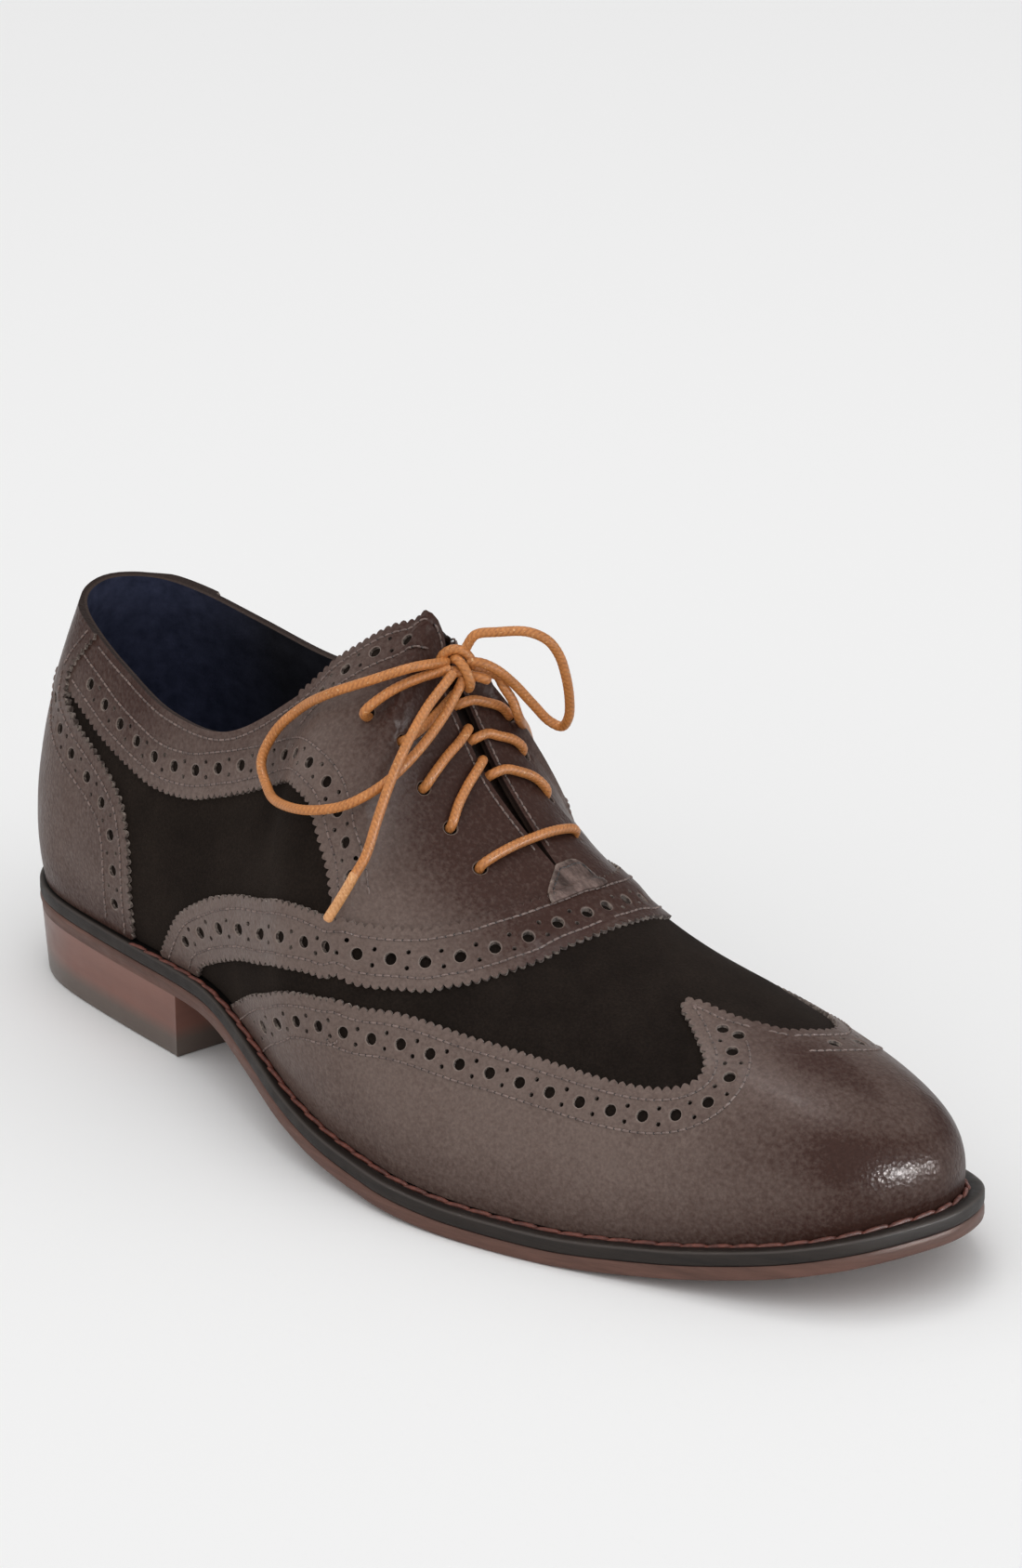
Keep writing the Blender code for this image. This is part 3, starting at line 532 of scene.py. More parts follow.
def move(spots, along, up):
    """Rows and heights moved by millimetres along and up the surface."""
    spots = np.asarray(spots, float)
    size, shear, upward = steps_at(spots[..., 0], spots[..., 1])
    dv = up / upward
    dt = (along - shear * dv) / size
    return np.stack([spots[..., 0] + dt, spots[..., 1] + dv], -1)


def trace(points, step, group=1):
    """Smooth curve over the surface through (row, height) points, at equal steps of about that size."""
    points = np.asarray(points, float)
    curve = through(points, apart(wall(points[:, 0], points[:, 1])), TRACE_POINTS * len(points))
    run = running(spans(curve))
    count = max(2, int(round(run[-1] / step)))
    count += -count % group
    return pick(curve, run, np.linspace(0, run[-1], count + 1))


def aside(curve, distance):
    """Curve moved to its left, seen from outside the shoe."""
    parts = max(1, math.ceil(np.max(np.abs(distance)) / ASIDE_STEP))
    for _ in range(parts):
        size, shear, upward = steps_at(curve[:, 0], curve[:, 1])
        step = np.gradient(curve, axis=0)
        along = size * step[:, 0] + shear * step[:, 1]
        up = upward * step[:, 1]
        share = distance / parts / np.maximum(np.hypot(along, up), 1e-9)
        curve = move(curve, -up * share, along * share)
    return curve


def pinked(points, side):
    """Edge with rounded teeth that stand out to the given side, 1 for left and -1 for right."""
    curve = trace(points, PINK_PITCH / len(TOOTH), len(TOOTH))
    out = np.array(TOOTH)[np.arange(len(curve)) % len(TOOTH)]
    return aside(curve, PINK_DEPTH * side * out)


def plain(*points):
    """Edge without teeth."""
    return trace(points, PLAIN_STEP)


def round_hole(spot, radius, corners):
    """Corners of a round hole in the surface."""
    angle = np.linspace(0, 2 * math.pi, corners, endpoint=False)
    return move(np.repeat([spot], corners, 0), radius * np.cos(angle), radius * np.sin(angle))


def punched(points, side, inset=HOLE_ROW, trim=(0.5, 0.5)):
    """Large holes along an edge, with a pair of pin holes between each two."""
    curve = aside(trace(points, 1.0), inset * side)
    run = running(spans(curve))
    first = trim[0] * BAND_PITCH
    last = run[-1] - trim[1] * BAND_PITCH
    count = max(1, int(round((last - first) / BAND_PITCH)))
    at = np.linspace(first, last, count + 1)
    holes = []
    for k, s in enumerate(at):
        holes.append((pick(curve, run, s), BAND_HOLE, HOLE_CORNERS, HOLE_ROOM * inset))
        if k < count:
            between = (s + at[k + 1]) / 2 + PIN_AHEAD * np.array([-1, 0, 1])
            line = pick(curve, run, np.clip(between, 0, run[-1]))
            for spread in (PIN_SPREAD, -PIN_SPREAD):
                holes.append((aside(line, spread)[1], PIN_HOLE, PIN_CORNERS, PIN_ROOM * (inset - PIN_SPREAD)))
    return holes


def within(edge, spot):
    """Whether a place lies inside a closed edge."""
    ahead = np.roll(edge, -1, axis=0)
    level = (edge[:, 1] > spot[1]) != (ahead[:, 1] > spot[1])
    climb = np.where(level, ahead[:, 1] - edge[:, 1], 1.0)
    cross = edge[:, 0] + (spot[1] - edge[:, 1]) / climb * (ahead[:, 0] - edge[:, 0])
    return bool(np.count_nonzero(level & (cross > spot[0])) % 2)


def open_holes(edge, holes):
    """Holes that lie clear of the panel's edge and of each other, large ones first."""
    kept = []
    for hole in sorted(holes, key=lambda hole: -hole[1]):
        spot, radius, _, room = hole
        if not within(edge, spot):
            continue
        size, shear, upward = steps_at(*spot)
        step = np.concatenate([edge] + [other[:1] for other in kept]) - spot
        apart = np.hypot(size * step[:, 0] + shear * step[:, 1], upward * step[:, 1])
        tight = radius + HOLE_RING + HOLE_MARGIN
        ridge = (edge[:, 1] > 1 - LINE_TOL) & (edge[:, 0] >= SLIT_END)
        joined = ridge | (edge[:, 0] < ROW_TOL) | (edge[:, 0] > TOE - ROW_TOL)
        need = np.concatenate([np.where(joined, tight, room), [tight + other[1] for other in kept]])
        if np.all(apart >= need):
            kept.append(hole)
    return kept


# Meshes

CUT_MERGE = 1e-4
JOIN_MERGE = 2e-6


def add_object(name, data):
    """Object of a mesh, curve, light or camera, in the scene."""
    made = bpy.data.objects.new(name, data)
    bpy.context.scene.collection.objects.link(made)
    return made


def cut_through(bm, cuts):
    """Cuts a flat mesh along planes: (place, direction) of each."""
    for spot, across in cuts:
        geom = bm.verts[:] + bm.edges[:] + bm.faces[:]
        bmesh.ops.bisect_plane(bm, geom=geom, dist=CUT_MERGE, plane_co=spot, plane_no=across)


def thicken(bm):
    """Gives a flat mesh a second side: all points, their flat places, and which are on that side."""
    foot = list(bm.verts)
    sheet = bmesh.ops.extrude_face_region(bm, geom=bm.faces[:])
    both = foot + [g for g in sheet["geom"] if isinstance(g, bmesh.types.BMVert)]
    flat = np.array([vert.co[:2] for vert in both])
    return both, flat, np.arange(len(both)) >= len(foot)


def finish_piece(name, bm, slot, *materials, sharp=40, replaces=()):
    """Object of a finished mesh, riding on the shoe."""
    mesh = bpy.data.meshes.new(name)
    bm.to_mesh(mesh)
    bm.free()
    mesh.shade_smooth()
    mesh.set_sharp_from_angle(angle=math.radians(sharp))
    piece = add_object(name, mesh)
    for made in materials:
        mesh.materials.append(made)
    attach(piece, "root")
    if replaces:
        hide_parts(*replaces)
    return piece


ROW_MM = 12.0
RIB_MM = 90.0
CUT_STEP = 3.2
CUT_LEVELS = 32
RING_START = 0.01
SHEET_GAP = 0.02
LEATHER_LAYERS = ("rim", "burnish_and_painted_light", "polish")


def cut_rows():
    """Rows at which a flat panel is cut so that it can follow the wall."""
    rows = []
    for k in range(TOE):
        length = np.linalg.norm(np.diff(wall(np.array([k, k + 1.0]), np.array([0.5, 0.5])), axis=0))
        rows.append(np.linspace(k, k + 1, max(2, int(math.ceil(length / CUT_STEP))), endpoint=False))
    return np.concatenate(rows + [[float(TOE)]])


CUT_ROWS = cut_rows()


def flat_panel(edge, holes):
    """Flat panel in rows and heights: its edge filled round the holes, then cut for bending."""
    bm = bmesh.new()
    for layer in LEATHER_LAYERS:
        bm.verts.layers.float.new(layer)
    rim = bm.verts.layers.float["rim"]

    def draw(loop):
        made = [bm.verts.new((t * ROW_MM, v * RIB_MM, 0)) for t, v in loop]
        for pair in zip(made, made[1:] + made[:1]):
            bm.edges.new(pair)
        return made

    draw(edge)
    rings = []
    for spot, radius, corners, _ in open_holes(edge, holes):
        wide = radius > PIN_HOLE
        made = draw(round_hole(spot, radius + HOLE_RING * wide, corners))
        if wide:
            rings.append((made, round_hole(spot, radius, corners)))
    bmesh.ops.triangle_fill(bm, use_beauty=True, use_dissolve=False, edges=bm.edges[:])
    for made, loop in rings:
        edges = [bm.edges.get(pair) for pair in zip(made, made[1:] + made[:1])]
        face = bmesh.ops.contextual_create(bm, geom=edges)["faces"][0]
        around = {vert: k for k, vert in enumerate(made)}
        bmesh.ops.inset_individual(bm, faces=[face], thickness=RING_START)
        for vert in face.verts:
            outer = next(e.other_vert(vert) for e in vert.link_edges if e.other_vert(vert) in around)
            vert.co = (loop[around[outer]][0] * ROW_MM, loop[around[outer]][1] * RIB_MM, 0)
            # rim 1: the sunk ring round a large hole, which gets a painted highlight
            vert[rim] = 1.0
        bmesh.ops.delete(bm, geom=[face], context="FACES_ONLY")
    low = edge.min(0)
    high = edge.max(0)
    cuts = [((t * ROW_MM, 0, 0), (1, 0, 0)) for t in CUT_ROWS if low[0] < t < high[0]]
    heights = np.linspace(0, 1, CUT_LEVELS + 1)
    cuts += [((0, v * RIB_MM, 0), (0, 1, 0)) for v in heights if low[1] < v < high[1]]
    cut_through(bm, cuts)
    return bm


# How dark each place is made (burnishing on the toe, a spot, the facing and the top edge; darker towards the
# foot and over the heel's counter), the painted sheen on the toe's top, and spots on the toe: row, height and
# how far they reach
BURNISH = {"least": 0.06, "toe": 0.72, "spot": 0.28, "facing": 0.85, "top": 0.45, "foot": 0.38, "heel": 0.36}
# Strength of the painted sheen that lightens the toe's top
TOE_PAINTED_SHEEN = 0.32
DARK_SPOT = (16.0, 0.36, 1.0, 0.16)
POLISH_SPOT = (17.2, 0.30, 1.5, 0.28)


def soft_spot(t, v, spot):
    """Spot that fades out, 1 in its middle."""
    row, height, long, tall = spot
    return np.exp(-(((t - row) / long) ** 2) - ((v - height) / tall) ** 2)


def burnish_and_painted_light(t, v):
    """Depth of the darkening, burnishing and darker towards the foot and at the heel, less where a painted
    sheen lightens the toe's top: 0 where the leather is palest, 1 where it is darkest.
    """
    row = row_of(t)
    # pale: painted sheen, a lighter band across the toe's top where the overhead light's highlight falls
    pale = TOE_PAINTED_SHEEN * rise(v, 0.45, 0.65) * (1 - rise(v, 0.78, 0.92))
    front = rise(row, 8.0, 9.4)
    depth = {
        "least": 1.0,
        "toe": rise(row, 13.0, 16.0) * (0.80 + 0.20 * rise(v, 0.0, 0.5)) * (1 - pale),
        "spot": soft_spot(row, v, DARK_SPOT),
        "facing": front * (1 - rise(row, 12.3, 13.2)) * rise(v, 0.44, 0.78),
        "top": rise(v, 0.70, 1.0) * (1 - front),
        "foot": 1 - rise(v, 0.0, 0.22),
        "heel": 1 - rise(row, 4.4, 5.6),
    }
    return np.clip(sum(BURNISH[part] * share for part, share in depth.items()), 0, 1)


def shared_line(row, v):
    """Whether a place lies where both halves of a panel meet: heel, toe or closed ridge."""
    ridge = (np.abs(v - 1) < LINE_TOL) & (row >= SLIT_END - ROW_TOL)
    return ridge | (row < ROW_TOL) | (row > TOE - ROW_TOL)


def leather_panel(name, halves, lift, replaces=()):
    """Panel bent onto the upper, with its thickness; halves are (edge, holes, mirrored)."""
    whole = bmesh.new()
    for layer in LEATHER_LAYERS:
        whole.verts.layers.float.new(layer)
    for edge, holes, mirrored in halves:
        flat = flat_panel(edge, holes)
        rim, tone, shine = (flat.verts.layers.float[layer] for layer in LEATHER_LAYERS)
        both, spots, above = thicken(flat)
        row, v = (spots / (ROW_MM, RIB_MM)).T
        t = LOOP - row if mirrored else row
        # share of each point in the ring round a hole: sunk below, and painted as a highlight in the colour
        painted_rim_and_crown_light = np.array([p[rim] for p in both])
        high = lift(row, v) + LEATHER_LIFT - RING_SINK * painted_rim_and_crown_light
        points = place(skin(t, v, np.where(above, high, SUEDE_LIFT + SHEET_GAP)))
        for vert, point, dark, bright in zip(both, points, burnish_and_painted_light(t, v), soft_spot(t, v, POLISH_SPOT)):
            vert.co = point
            vert[tone] = dark
            vert[shine] = bright
        order = {vert: k for k, vert in enumerate(both)}
        shared = shared_line(row, v)
        turned = (v > 1 - LINE_TOL) & ((row < FACING_TOP[0]) | (row > FACING_TOP[1]))
        inside = []
        for face in flat.faces:
            mine = [order[p] for p in face.verts]
            if above[mine].any() and not above[mine].all():
                face.material_index = 2 if turned[mine].all() else 1
                if shared[mine].all():
                    inside.append(face)
        bmesh.ops.delete(flat, geom=inside, context="FACES_ONLY")
        part = bpy.data.meshes.new("part")
        flat.to_mesh(part)
        flat.free()
        whole.from_mesh(part)
        bpy.data.meshes.remove(part)
    bmesh.ops.remove_doubles(whole, verts=whole.verts, dist=JOIN_MERGE)
    bmesh.ops.recalc_face_normals(whole, faces=whole.faces)
    return finish_piece(name, whole, "upper_leather", LEATHER, RAW_EDGE, TOP_EDGE, replaces=replaces)


def cords(name, lines, radius, material, resolution=1):
    """One curve of many short cords."""
    data = bpy.data.curves.new(name, "CURVE")
    data.dimensions = "3D"
    data.bevel_depth = radius * MM
    data.bevel_resolution = resolution
    data.use_fill_caps = True
    for line in lines:
        spline = data.splines.new("POLY")
        spline.points.add(len(line) - 1)
        spline.points.foreach_set("co", np.c_[place(line), np.ones(len(line))].ravel())
    piece = add_object(name, data)
    data.materials.append(material)
    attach(piece, "root")
    return piece


STITCH_CLEAR = 0.8
NEEDLE_DEPTH = (-0.3, 0.07)


def stitches(name, rows, mirrored):
    """Stitches along rows on the upper, with their needle holes drawn as near-black cords of painted shade:
    (points, inset, side, lift, other edges that the row keeps as far from).
    """
    sewn = []
    pricked = []
    for points, inset, side, lift, others in rows:
        curve = aside(trace(points, 1.0), inset * side)
        run = running(spans(curve))
        count = max(1, int(round(run[-1] / STITCH_PITCH)))
        pitch = run[-1] / count
        at = np.arange(count)[:, None] * pitch + np.array(STITCH_SHAPE) * pitch
        t, v = (np.interp(at, run, column) for column in curve.T)
        keep = (v.max(1) < 0.999) & (v.min(1) > 0.0)
        middle = wall(t[:, 1], v[:, 1])
        for other in others:
            edge = trace(other, 1.0)
            gap = np.linalg.norm(middle[:, None] - wall(edge[:, 0], edge[:, 1])[None], axis=-1).min(1)
            keep &= gap > STITCH_CLEAR * inset
        t, v = t[keep], v[keep]
        if not len(t):
            continue
        around = LOOP - t if mirrored else t
        crown = LEATHER_LIFT + lift(t, v)
        sewn += list(skin(around, v, crown + np.array(STITCH_BOW)))
        ends = [skin(around[:, :1], v[:, :1], crown[:, :1] + depth) for depth in NEEDLE_DEPTH]
        pricked += list(np.concatenate(ends, 1))
    cords(name + "_stitches", sewn, STITCH_RADIUS, THREAD)
    cords(name + "_needle_holes", pricked, NEEDLE_RADIUS, NEEDLE_HOLE_SHADE)


# Materials

def new_material(name):
    made = bpy.data.materials.new(name)
    made.use_nodes = True
    return made, made.node_tree, made.node_tree.nodes["Principled BSDF"]


def settle(shader, values):
    """Constant values on the shader's own sockets."""
    for socket, value in values.items():
        shader.inputs[socket].default_value = value


def drive(shader, socket, source):
    """Links a value or a colour to the shader's socket."""
    shader.id_data.links.new(source, shader.inputs[socket])


def grey(value):
    return (value, value, value)


def axis(tree, name):
    """Place along one axis of the piece's own coordinates."""
    spot = tree.nodes.new("ShaderNodeTexCoord")
    made = tree.nodes.new("ShaderNodeSeparateXYZ")
    tree.links.new(spot.outputs["Object"], made.inputs["Vector"])
    return made.outputs[name]


def noise(tree, scale, detail=4.0, rough=0.55, stretch=(1, 1, 1)):
    """Noise over the piece's own coordinates."""
    spot = tree.nodes.new("ShaderNodeTexCoord")
    turn = tree.nodes.new("ShaderNodeMapping")
    turn.inputs["Scale"].default_value = stretch
    tree.links.new(spot.outputs["Object"], turn.inputs["Vector"])
    made = tree.nodes.new("ShaderNodeTexNoise")
    made.inputs["Scale"].default_value = scale
    made.inputs["Detail"].default_value = detail
    made.inputs["Roughness"].default_value = rough
    tree.links.new(turn.outputs["Vector"], made.inputs["Vector"])
    return made.outputs["Fac"]


def ramp(tree, source, *stops):
    """Colours over a value: (place, colour) stops."""
    made = tree.nodes.new("ShaderNodeValToRGB")
    while len(made.color_ramp.elements) < len(stops):
        made.color_ramp.elements.new(0.5)
    for element, (spot, colour) in zip(made.color_ramp.elements, stops):
        element.position = spot
        element.color = (*colour, 1.0)
    tree.links.new(source, made.inputs["Fac"])
    return made.outputs["Color"]


def span(tree, source, low, high, out_low, out_high):
    """One range of values turned into another."""
    made = tree.nodes.new("ShaderNodeMapRange")
    for key, value in (("From Min", low), ("From Max", high), ("To Min", out_low), ("To Max", out_high)):
        made.inputs[key].default_value = value
    tree.links.new(source, made.inputs["Value"])
    return made.outputs["Result"]


def blend(tree, amount, first, second, mode="MIX"):
    """Two colours mixed or multiplied."""
    made = tree.nodes.new("ShaderNodeMix")
    made.data_type = "RGBA"
    made.blend_type = mode
    if isinstance(amount, float):
        made.inputs["Factor"].default_value = amount
    else:
        tree.links.new(amount, made.inputs["Factor"])
    for socket, value in ((made.inputs["A"], first), (made.inputs["B"], second)):
        if isinstance(value, tuple):
            socket.default_value = (*value, 1.0)
        else:
            tree.links.new(value, socket)
    return made.outputs["Result"]


def bump(tree, shader, source, strength, depth):
    """Fine relief, over any that the shader has already."""
    made = tree.nodes.new("ShaderNodeBump")
    made.inputs["Strength"].default_value = strength
    made.inputs["Distance"].default_value = depth
    tree.links.new(source, made.inputs["Height"])
    if shader.inputs["Normal"].is_linked:
        tree.links.new(shader.inputs["Normal"].links[0].from_socket, made.inputs["Normal"])
    tree.links.new(made.outputs["Normal"], shader.inputs["Normal"])


def cells(tree, scale):
    """Pebbled cells over the piece's own coordinates."""
    spot = tree.nodes.new("ShaderNodeTexCoord")
    made = tree.nodes.new("ShaderNodeTexVoronoi")
    made.inputs["Scale"].default_value = scale
    tree.links.new(spot.outputs["Object"], made.inputs["Vector"])
    return made.outputs["Distance"]


def attribute(tree, name):
    """Value kept on the mesh's points."""
    made = tree.nodes.new("ShaderNodeAttribute")
    made.attribute_name = name
    return made.outputs["Fac"]


def total(tree, *sources):
    """Sum of values."""
    result = sources[0]
    for source in sources[1:]:
        made = tree.nodes.new("ShaderNodeMath")
        tree.links.new(result, made.inputs[0])
        tree.links.new(source, made.inputs[1])
        result = made.outputs[0]
    return result


TOE_POLISH = 0.17
WRINKLE_STRETCH = (0.35, 1.0, 0.35)


def burnished_leather_and_painted_light(name, light, dark, painted_rim_and_crown_light, gloss, wrinkle=0.0):
    """Full-grain leather, burnished darker in places and lightened by a painted sheen on the toe, with a fine
    grain, a polish, painted highlights on the hole rims and painted light and shade on its wrinkles.
    """
    made, tree, shader = new_material(name)
    cloud = span(tree, noise(tree, 42.0, 5.0), 0.30, 0.70, -0.10, 0.10)
    pores = span(tree, noise(tree, 850.0, 3.0, 0.6), 0.30, 0.70, -0.20, 0.20)
    depth = total(tree, attribute(tree, "burnish_and_painted_light"), cloud, pores)
    tone = ramp(tree, depth, (0.02, light), (0.92, dark))
    fine = ramp(tree, noise(tree, 1300.0, 3.0), (0.35, grey(0.80)), (0.65, grey(1.14)))
    tone = blend(tree, 0.6, tone, fine, "MULTIPLY")
    # pale colour where rim is set: painted highlight round the holes, and the paler free edge of the tab
    tone = blend(tree, span(tree, attribute(tree, "rim"), 0.15, 1.0, 0.0, 0.9), tone, painted_rim_and_crown_light)
    dull = span(tree, noise(tree, 120.0), 0.3, 0.7, gloss - 0.06, gloss + 0.08)
    shine = span(tree, attribute(tree, "polish"), 0.0, 1.0, 0.0, -TOE_POLISH)
    drive(shader, "Roughness", total(tree, dull, shine))
    settle(shader, {"Coat Weight": 0.06, "Coat Roughness": 0.20, "Coat IOR": 1.4, "Specular IOR Level": 0.09})
    bump(tree, shader, cells(tree, 1000.0), 0.34, 0.0003)
    bump(tree, shader, noise(tree, 420.0, 6.0), 0.12, 0.0004)
    if wrinkle:
        # streaks of painted light and shade along the wrinkles, over the relief of the bump below
        fold_light_and_shade = noise(tree, 300.0, 4.0, 0.6, WRINKLE_STRETCH)
        fold_light_and_shade = ramp(tree, fold_light_and_shade, (0.38, (0.45, 0.42, 0.41)), (0.62, grey(1.5)))
        tone = blend(tree, wrinkle, tone, fold_light_and_shade, "MULTIPLY")
        bump(tree, shader, noise(tree, 260.0, 5.0, 0.6, WRINKLE_STRETCH), wrinkle, 0.0008)
    drive(shader, "Base Color", tone)
    return made


def raw_edge(name):
    """Cut edge of the leather, with paler fibres."""
    made, tree, shader = new_material(name)
    tone = ramp(tree, noise(tree, 900.0, 3.0), (0.42, (0.062, 0.043, 0.036)), (0.68, (0.34, 0.28, 0.24)))
    drive(shader, "Base Color", tone)
    settle(shader, {"Roughness": 0.85})
    bump(tree, shader, noise(tree, 2200.0), 0.4, 0.0003)
    return made


def suede(name):
    """Dark suede with a short uneven nap."""
    made, tree, shader = new_material(name)
    nap = noise(tree, 55.0, 6.0, 0.6)
    nap = ramp(tree, nap, (0.30, (0.0080, 0.0058, 0.0048)), (0.72, (0.0170, 0.0126, 0.0102)))
    fleck = ramp(tree, noise(tree, 1500.0, 3.0), (0.35, grey(0.70)), (0.70, (1.35, 1.30, 1.25)))
    drive(shader, "Base Color", blend(tree, 0.8, nap, fleck, "MULTIPLY"))
    settle(shader, {
        "Roughness": 0.95, "Specular IOR Level": 0.04, "Sheen Weight": 0.05, "Sheen Roughness": 0.6,
        "Sheen Tint": (0.40, 0.30, 0.25, 1.0),
    })
    bump(tree, shader, noise(tree, 1800.0, 5.0, 0.7), 0.5, 0.0004)
    return made


def lining(name):
    """Soft navy lining leather, darkened almost to blackness by painted shade further into the shoe."""
    made, tree, shader = new_material(name)
    grain = noise(tree, 240.0, 5.0)
    navy = ramp(tree, grain, (0.30, (0.0240, 0.0290, 0.0560)), (0.72, (0.0520, 0.0590, 0.1080)))
    navy_in_painted_shade = ramp(tree, grain, (0.30, (0.0080, 0.0080, 0.0105)), (0.72, (0.0150, 0.0150, 0.0195)))
    # painted shade: the lining darkens from the heel towards the toe, further into the shoe
    inside = span(tree, axis(tree, "X"), -0.136, -0.104, 0.0, 1.0)
    drive(shader, "Base Color", blend(tree, inside, navy, navy_in_painted_shade))
    settle(shader, {
        "Roughness": 0.85, "Specular IOR Level": 0.10,
        "Sheen Weight": 0.04, "Sheen Tint": (0.30, 0.34, 0.50, 1.0),
    })
    bump(tree, shader, noise(tree, 1400.0, 4.0), 0.3, 0.0003)
    return made


def thread(name, light, dark):
    """Matt sewing thread."""
    made, tree, shader = new_material(name)
    drive(shader, "Base Color", ramp(tree, noise(tree, 700.0, 3.0), (0.35, dark), (0.65, light)))
    settle(shader, {"Roughness": 0.6})
    bump(tree, shader, noise(tree, 3500.0, 2.0), 0.4, 0.0002)
    return made


# Painted shade in the welt's groove, between the welt and the upper
GROOVE_PAINTED_SHADE = (0.0045, 0.0034, 0.0028)
EDGE_STRETCH = (0.25, 0.25, 3.0)


def edge_leather(name, light, dark, gloss):
    """Edge of the sole: layered fibres under a dressing, paler along its rims, with painted shade in the
    welt's groove.
    """
    made, tree, shader = new_material(name)
    tone = ramp(tree, noise(tree, 160.0, 5.0, 0.6, EDGE_STRETCH), (0.30, dark), (0.70, light))
    fleck = ramp(tree, noise(tree, 700.0, 3.0, 0.6, EDGE_STRETCH), (0.35, grey(0.82)), (0.65, grey(1.10)))
    tone = blend(tree, 0.6, tone, fleck, "MULTIPLY")
    pale = tuple(min(1.0, 1.9 * c + 0.03) for c in light)
    tone = blend(tree, span(tree, attribute(tree, "rim"), 0.0, 1.0, 0.0, 0.8), tone, pale)
    groove_shade = span(tree, attribute(tree, "rim"), -1.0, 0.0, 1.0, 0.0)
    drive(shader, "Base Color", blend(tree, groove_shade, tone, GROOVE_PAINTED_SHADE))
    drive(shader, "Roughness", span(tree, noise(tree, 240.0), 0.3, 0.7, gloss - 0.06, gloss + 0.10))
    settle(shader, {"Coat Weight": 0.05, "Coat Roughness": 0.35, "Specular IOR Level": 0.24})
    bump(tree, shader, noise(tree, 900.0, 4.0, 0.6, EDGE_STRETCH), 0.25, 0.0003)
    return made


def stacked_leather(name):
    """Polished heel: red-brown leather, greyer at its foot and back."""
    made, tree, shader = new_material(name)
    streak = noise(tree, 60.0, 4.0, 0.5, (0.3, 0.3, 2.5))
    streak = ramp(tree, streak, (0.30, (0.155, 0.068, 0.051)), (0.70, (0.205, 0.094, 0.071)))
    foot = span(tree, axis(tree, "Z"), 0.0045, 0.0085, 1.0, 0.0)
    back = span(tree, axis(tree, "X"), -0.147, -0.118, 0.85, 0.0)
    tone = blend(tree, back, streak, (0.140, 0.112, 0.098))
    drive(shader, "Base Color", blend(tree, foot, tone, (0.105, 0.078, 0.064)))
    drive(shader, "Roughness", span(tree, noise(tree, 150.0), 0.3, 0.7, 0.28, 0.42))
    settle(shader, {"Coat Weight": 0.05, "Coat Roughness": 0.25, "Specular IOR Level": 0.30})
    bump(tree, shader, noise(tree, 700.0, 4.0, 0.6, (0.25, 0.25, 4.0)), 0.15, 0.0002)
    return made


def waxed_cord(name, light, dark, gloss):
    """Waxed cotton cord: painted light on the braid's crowns and painted shade between its strands, with
    flecks of wax.
    """
    made, tree, shader = new_material(name)
    base = ramp(tree, attribute(tree, "crown"), (0.05, dark), (0.85, light))
    mottle = ramp(tree, noise(tree, 260.0, 4.0), (0.30, (0.80, 0.78, 0.74)), (0.70, (1.14, 1.12, 1.10)))
    painted_rim_and_crown_light = blend(tree, 0.7, base, mottle, "MULTIPLY")
    fleck = span(tree, noise(tree, 1300.0, 2.0), 0.64, 0.72, 0.0, 0.55)
    drive(shader, "Base Color", blend(tree, fleck, painted_rim_and_crown_light, (0.86, 0.62, 0.34)))
    settle(shader, {"Roughness": gloss, "Specular IOR Level": 0.4})
    bump(tree, shader, noise(tree, 2600.0, 3.0), 0.25, 0.0002)
    return made


# Main leather: pale and burnished colours, the painted highlight on hole rims, and roughness
LEATHER = burnished_leather_and_painted_light(
    "burnished_leather_and_painted_light", (0.146, 0.106, 0.091), (0.044, 0.0200, 0.0152), (0.230, 0.180, 0.155), 0.38,
)
# Tab leather, wrinkled: painted light and shade along its creases
TAB_LEATHER = burnished_leather_and_painted_light(
    "tab_leather", (0.150, 0.108, 0.095), (0.050, 0.030, 0.026), (0.25, 0.20, 0.17), 0.24, 1.0,
)
# Tongue leather darkened with painted shade: the tongue lies in shadow under the slit
TONGUE_PAINTED_SHADE_LEATHER = burnished_leather_and_painted_light(
    "tongue_leather", (0.044, 0.030, 0.025), (0.018, 0.011, 0.009), (0.10, 0.08, 0.07), 0.52, 0.4,
)
TOP_EDGE = burnished_leather_and_painted_light(
    "top_edge", (0.040, 0.026, 0.021), (0.022, 0.013, 0.011), (0.10, 0.08, 0.07), 0.50,
)
RAW_EDGE = raw_edge("pinked_edge")
SUEDE = suede("suede")
LINING = lining("navy_lining")
THREAD = thread("upper_thread", (0.215, 0.152, 0.131), (0.090, 0.059, 0.050))
# Needle holes: near-black cords that paint the shade inside each hole; the tab's stitches use it too
NEEDLE_HOLE_SHADE = thread("needle_hole_shade", (0.020, 0.014, 0.012), (0.008, 0.006, 0.005))
WELT_THREAD = thread("welt_thread", (0.180, 0.052, 0.034), (0.080, 0.022, 0.015))
OUTSOLE_EDGE = edge_leather("outsole_edge", (0.140, 0.069, 0.052), (0.088, 0.043, 0.032), 0.50)
WELT_EDGE = edge_leather("welt_edge", (0.024, 0.0170, 0.0135), (0.012, 0.0085, 0.007), 0.55)
HEEL_EDGE = stacked_leather("heel_edge")
# Lace and aglet colours: lit on the braid's crowns, dark between strands, as painted light and shade
CORD = waxed_cord("waxed_cord", (0.560, 0.225, 0.064), (0.300, 0.098, 0.024), 0.44)
AGLET = waxed_cord("aglet", (0.680, 0.350, 0.150), (0.480, 0.200, 0.075), 0.20)


# Camera, floor and light

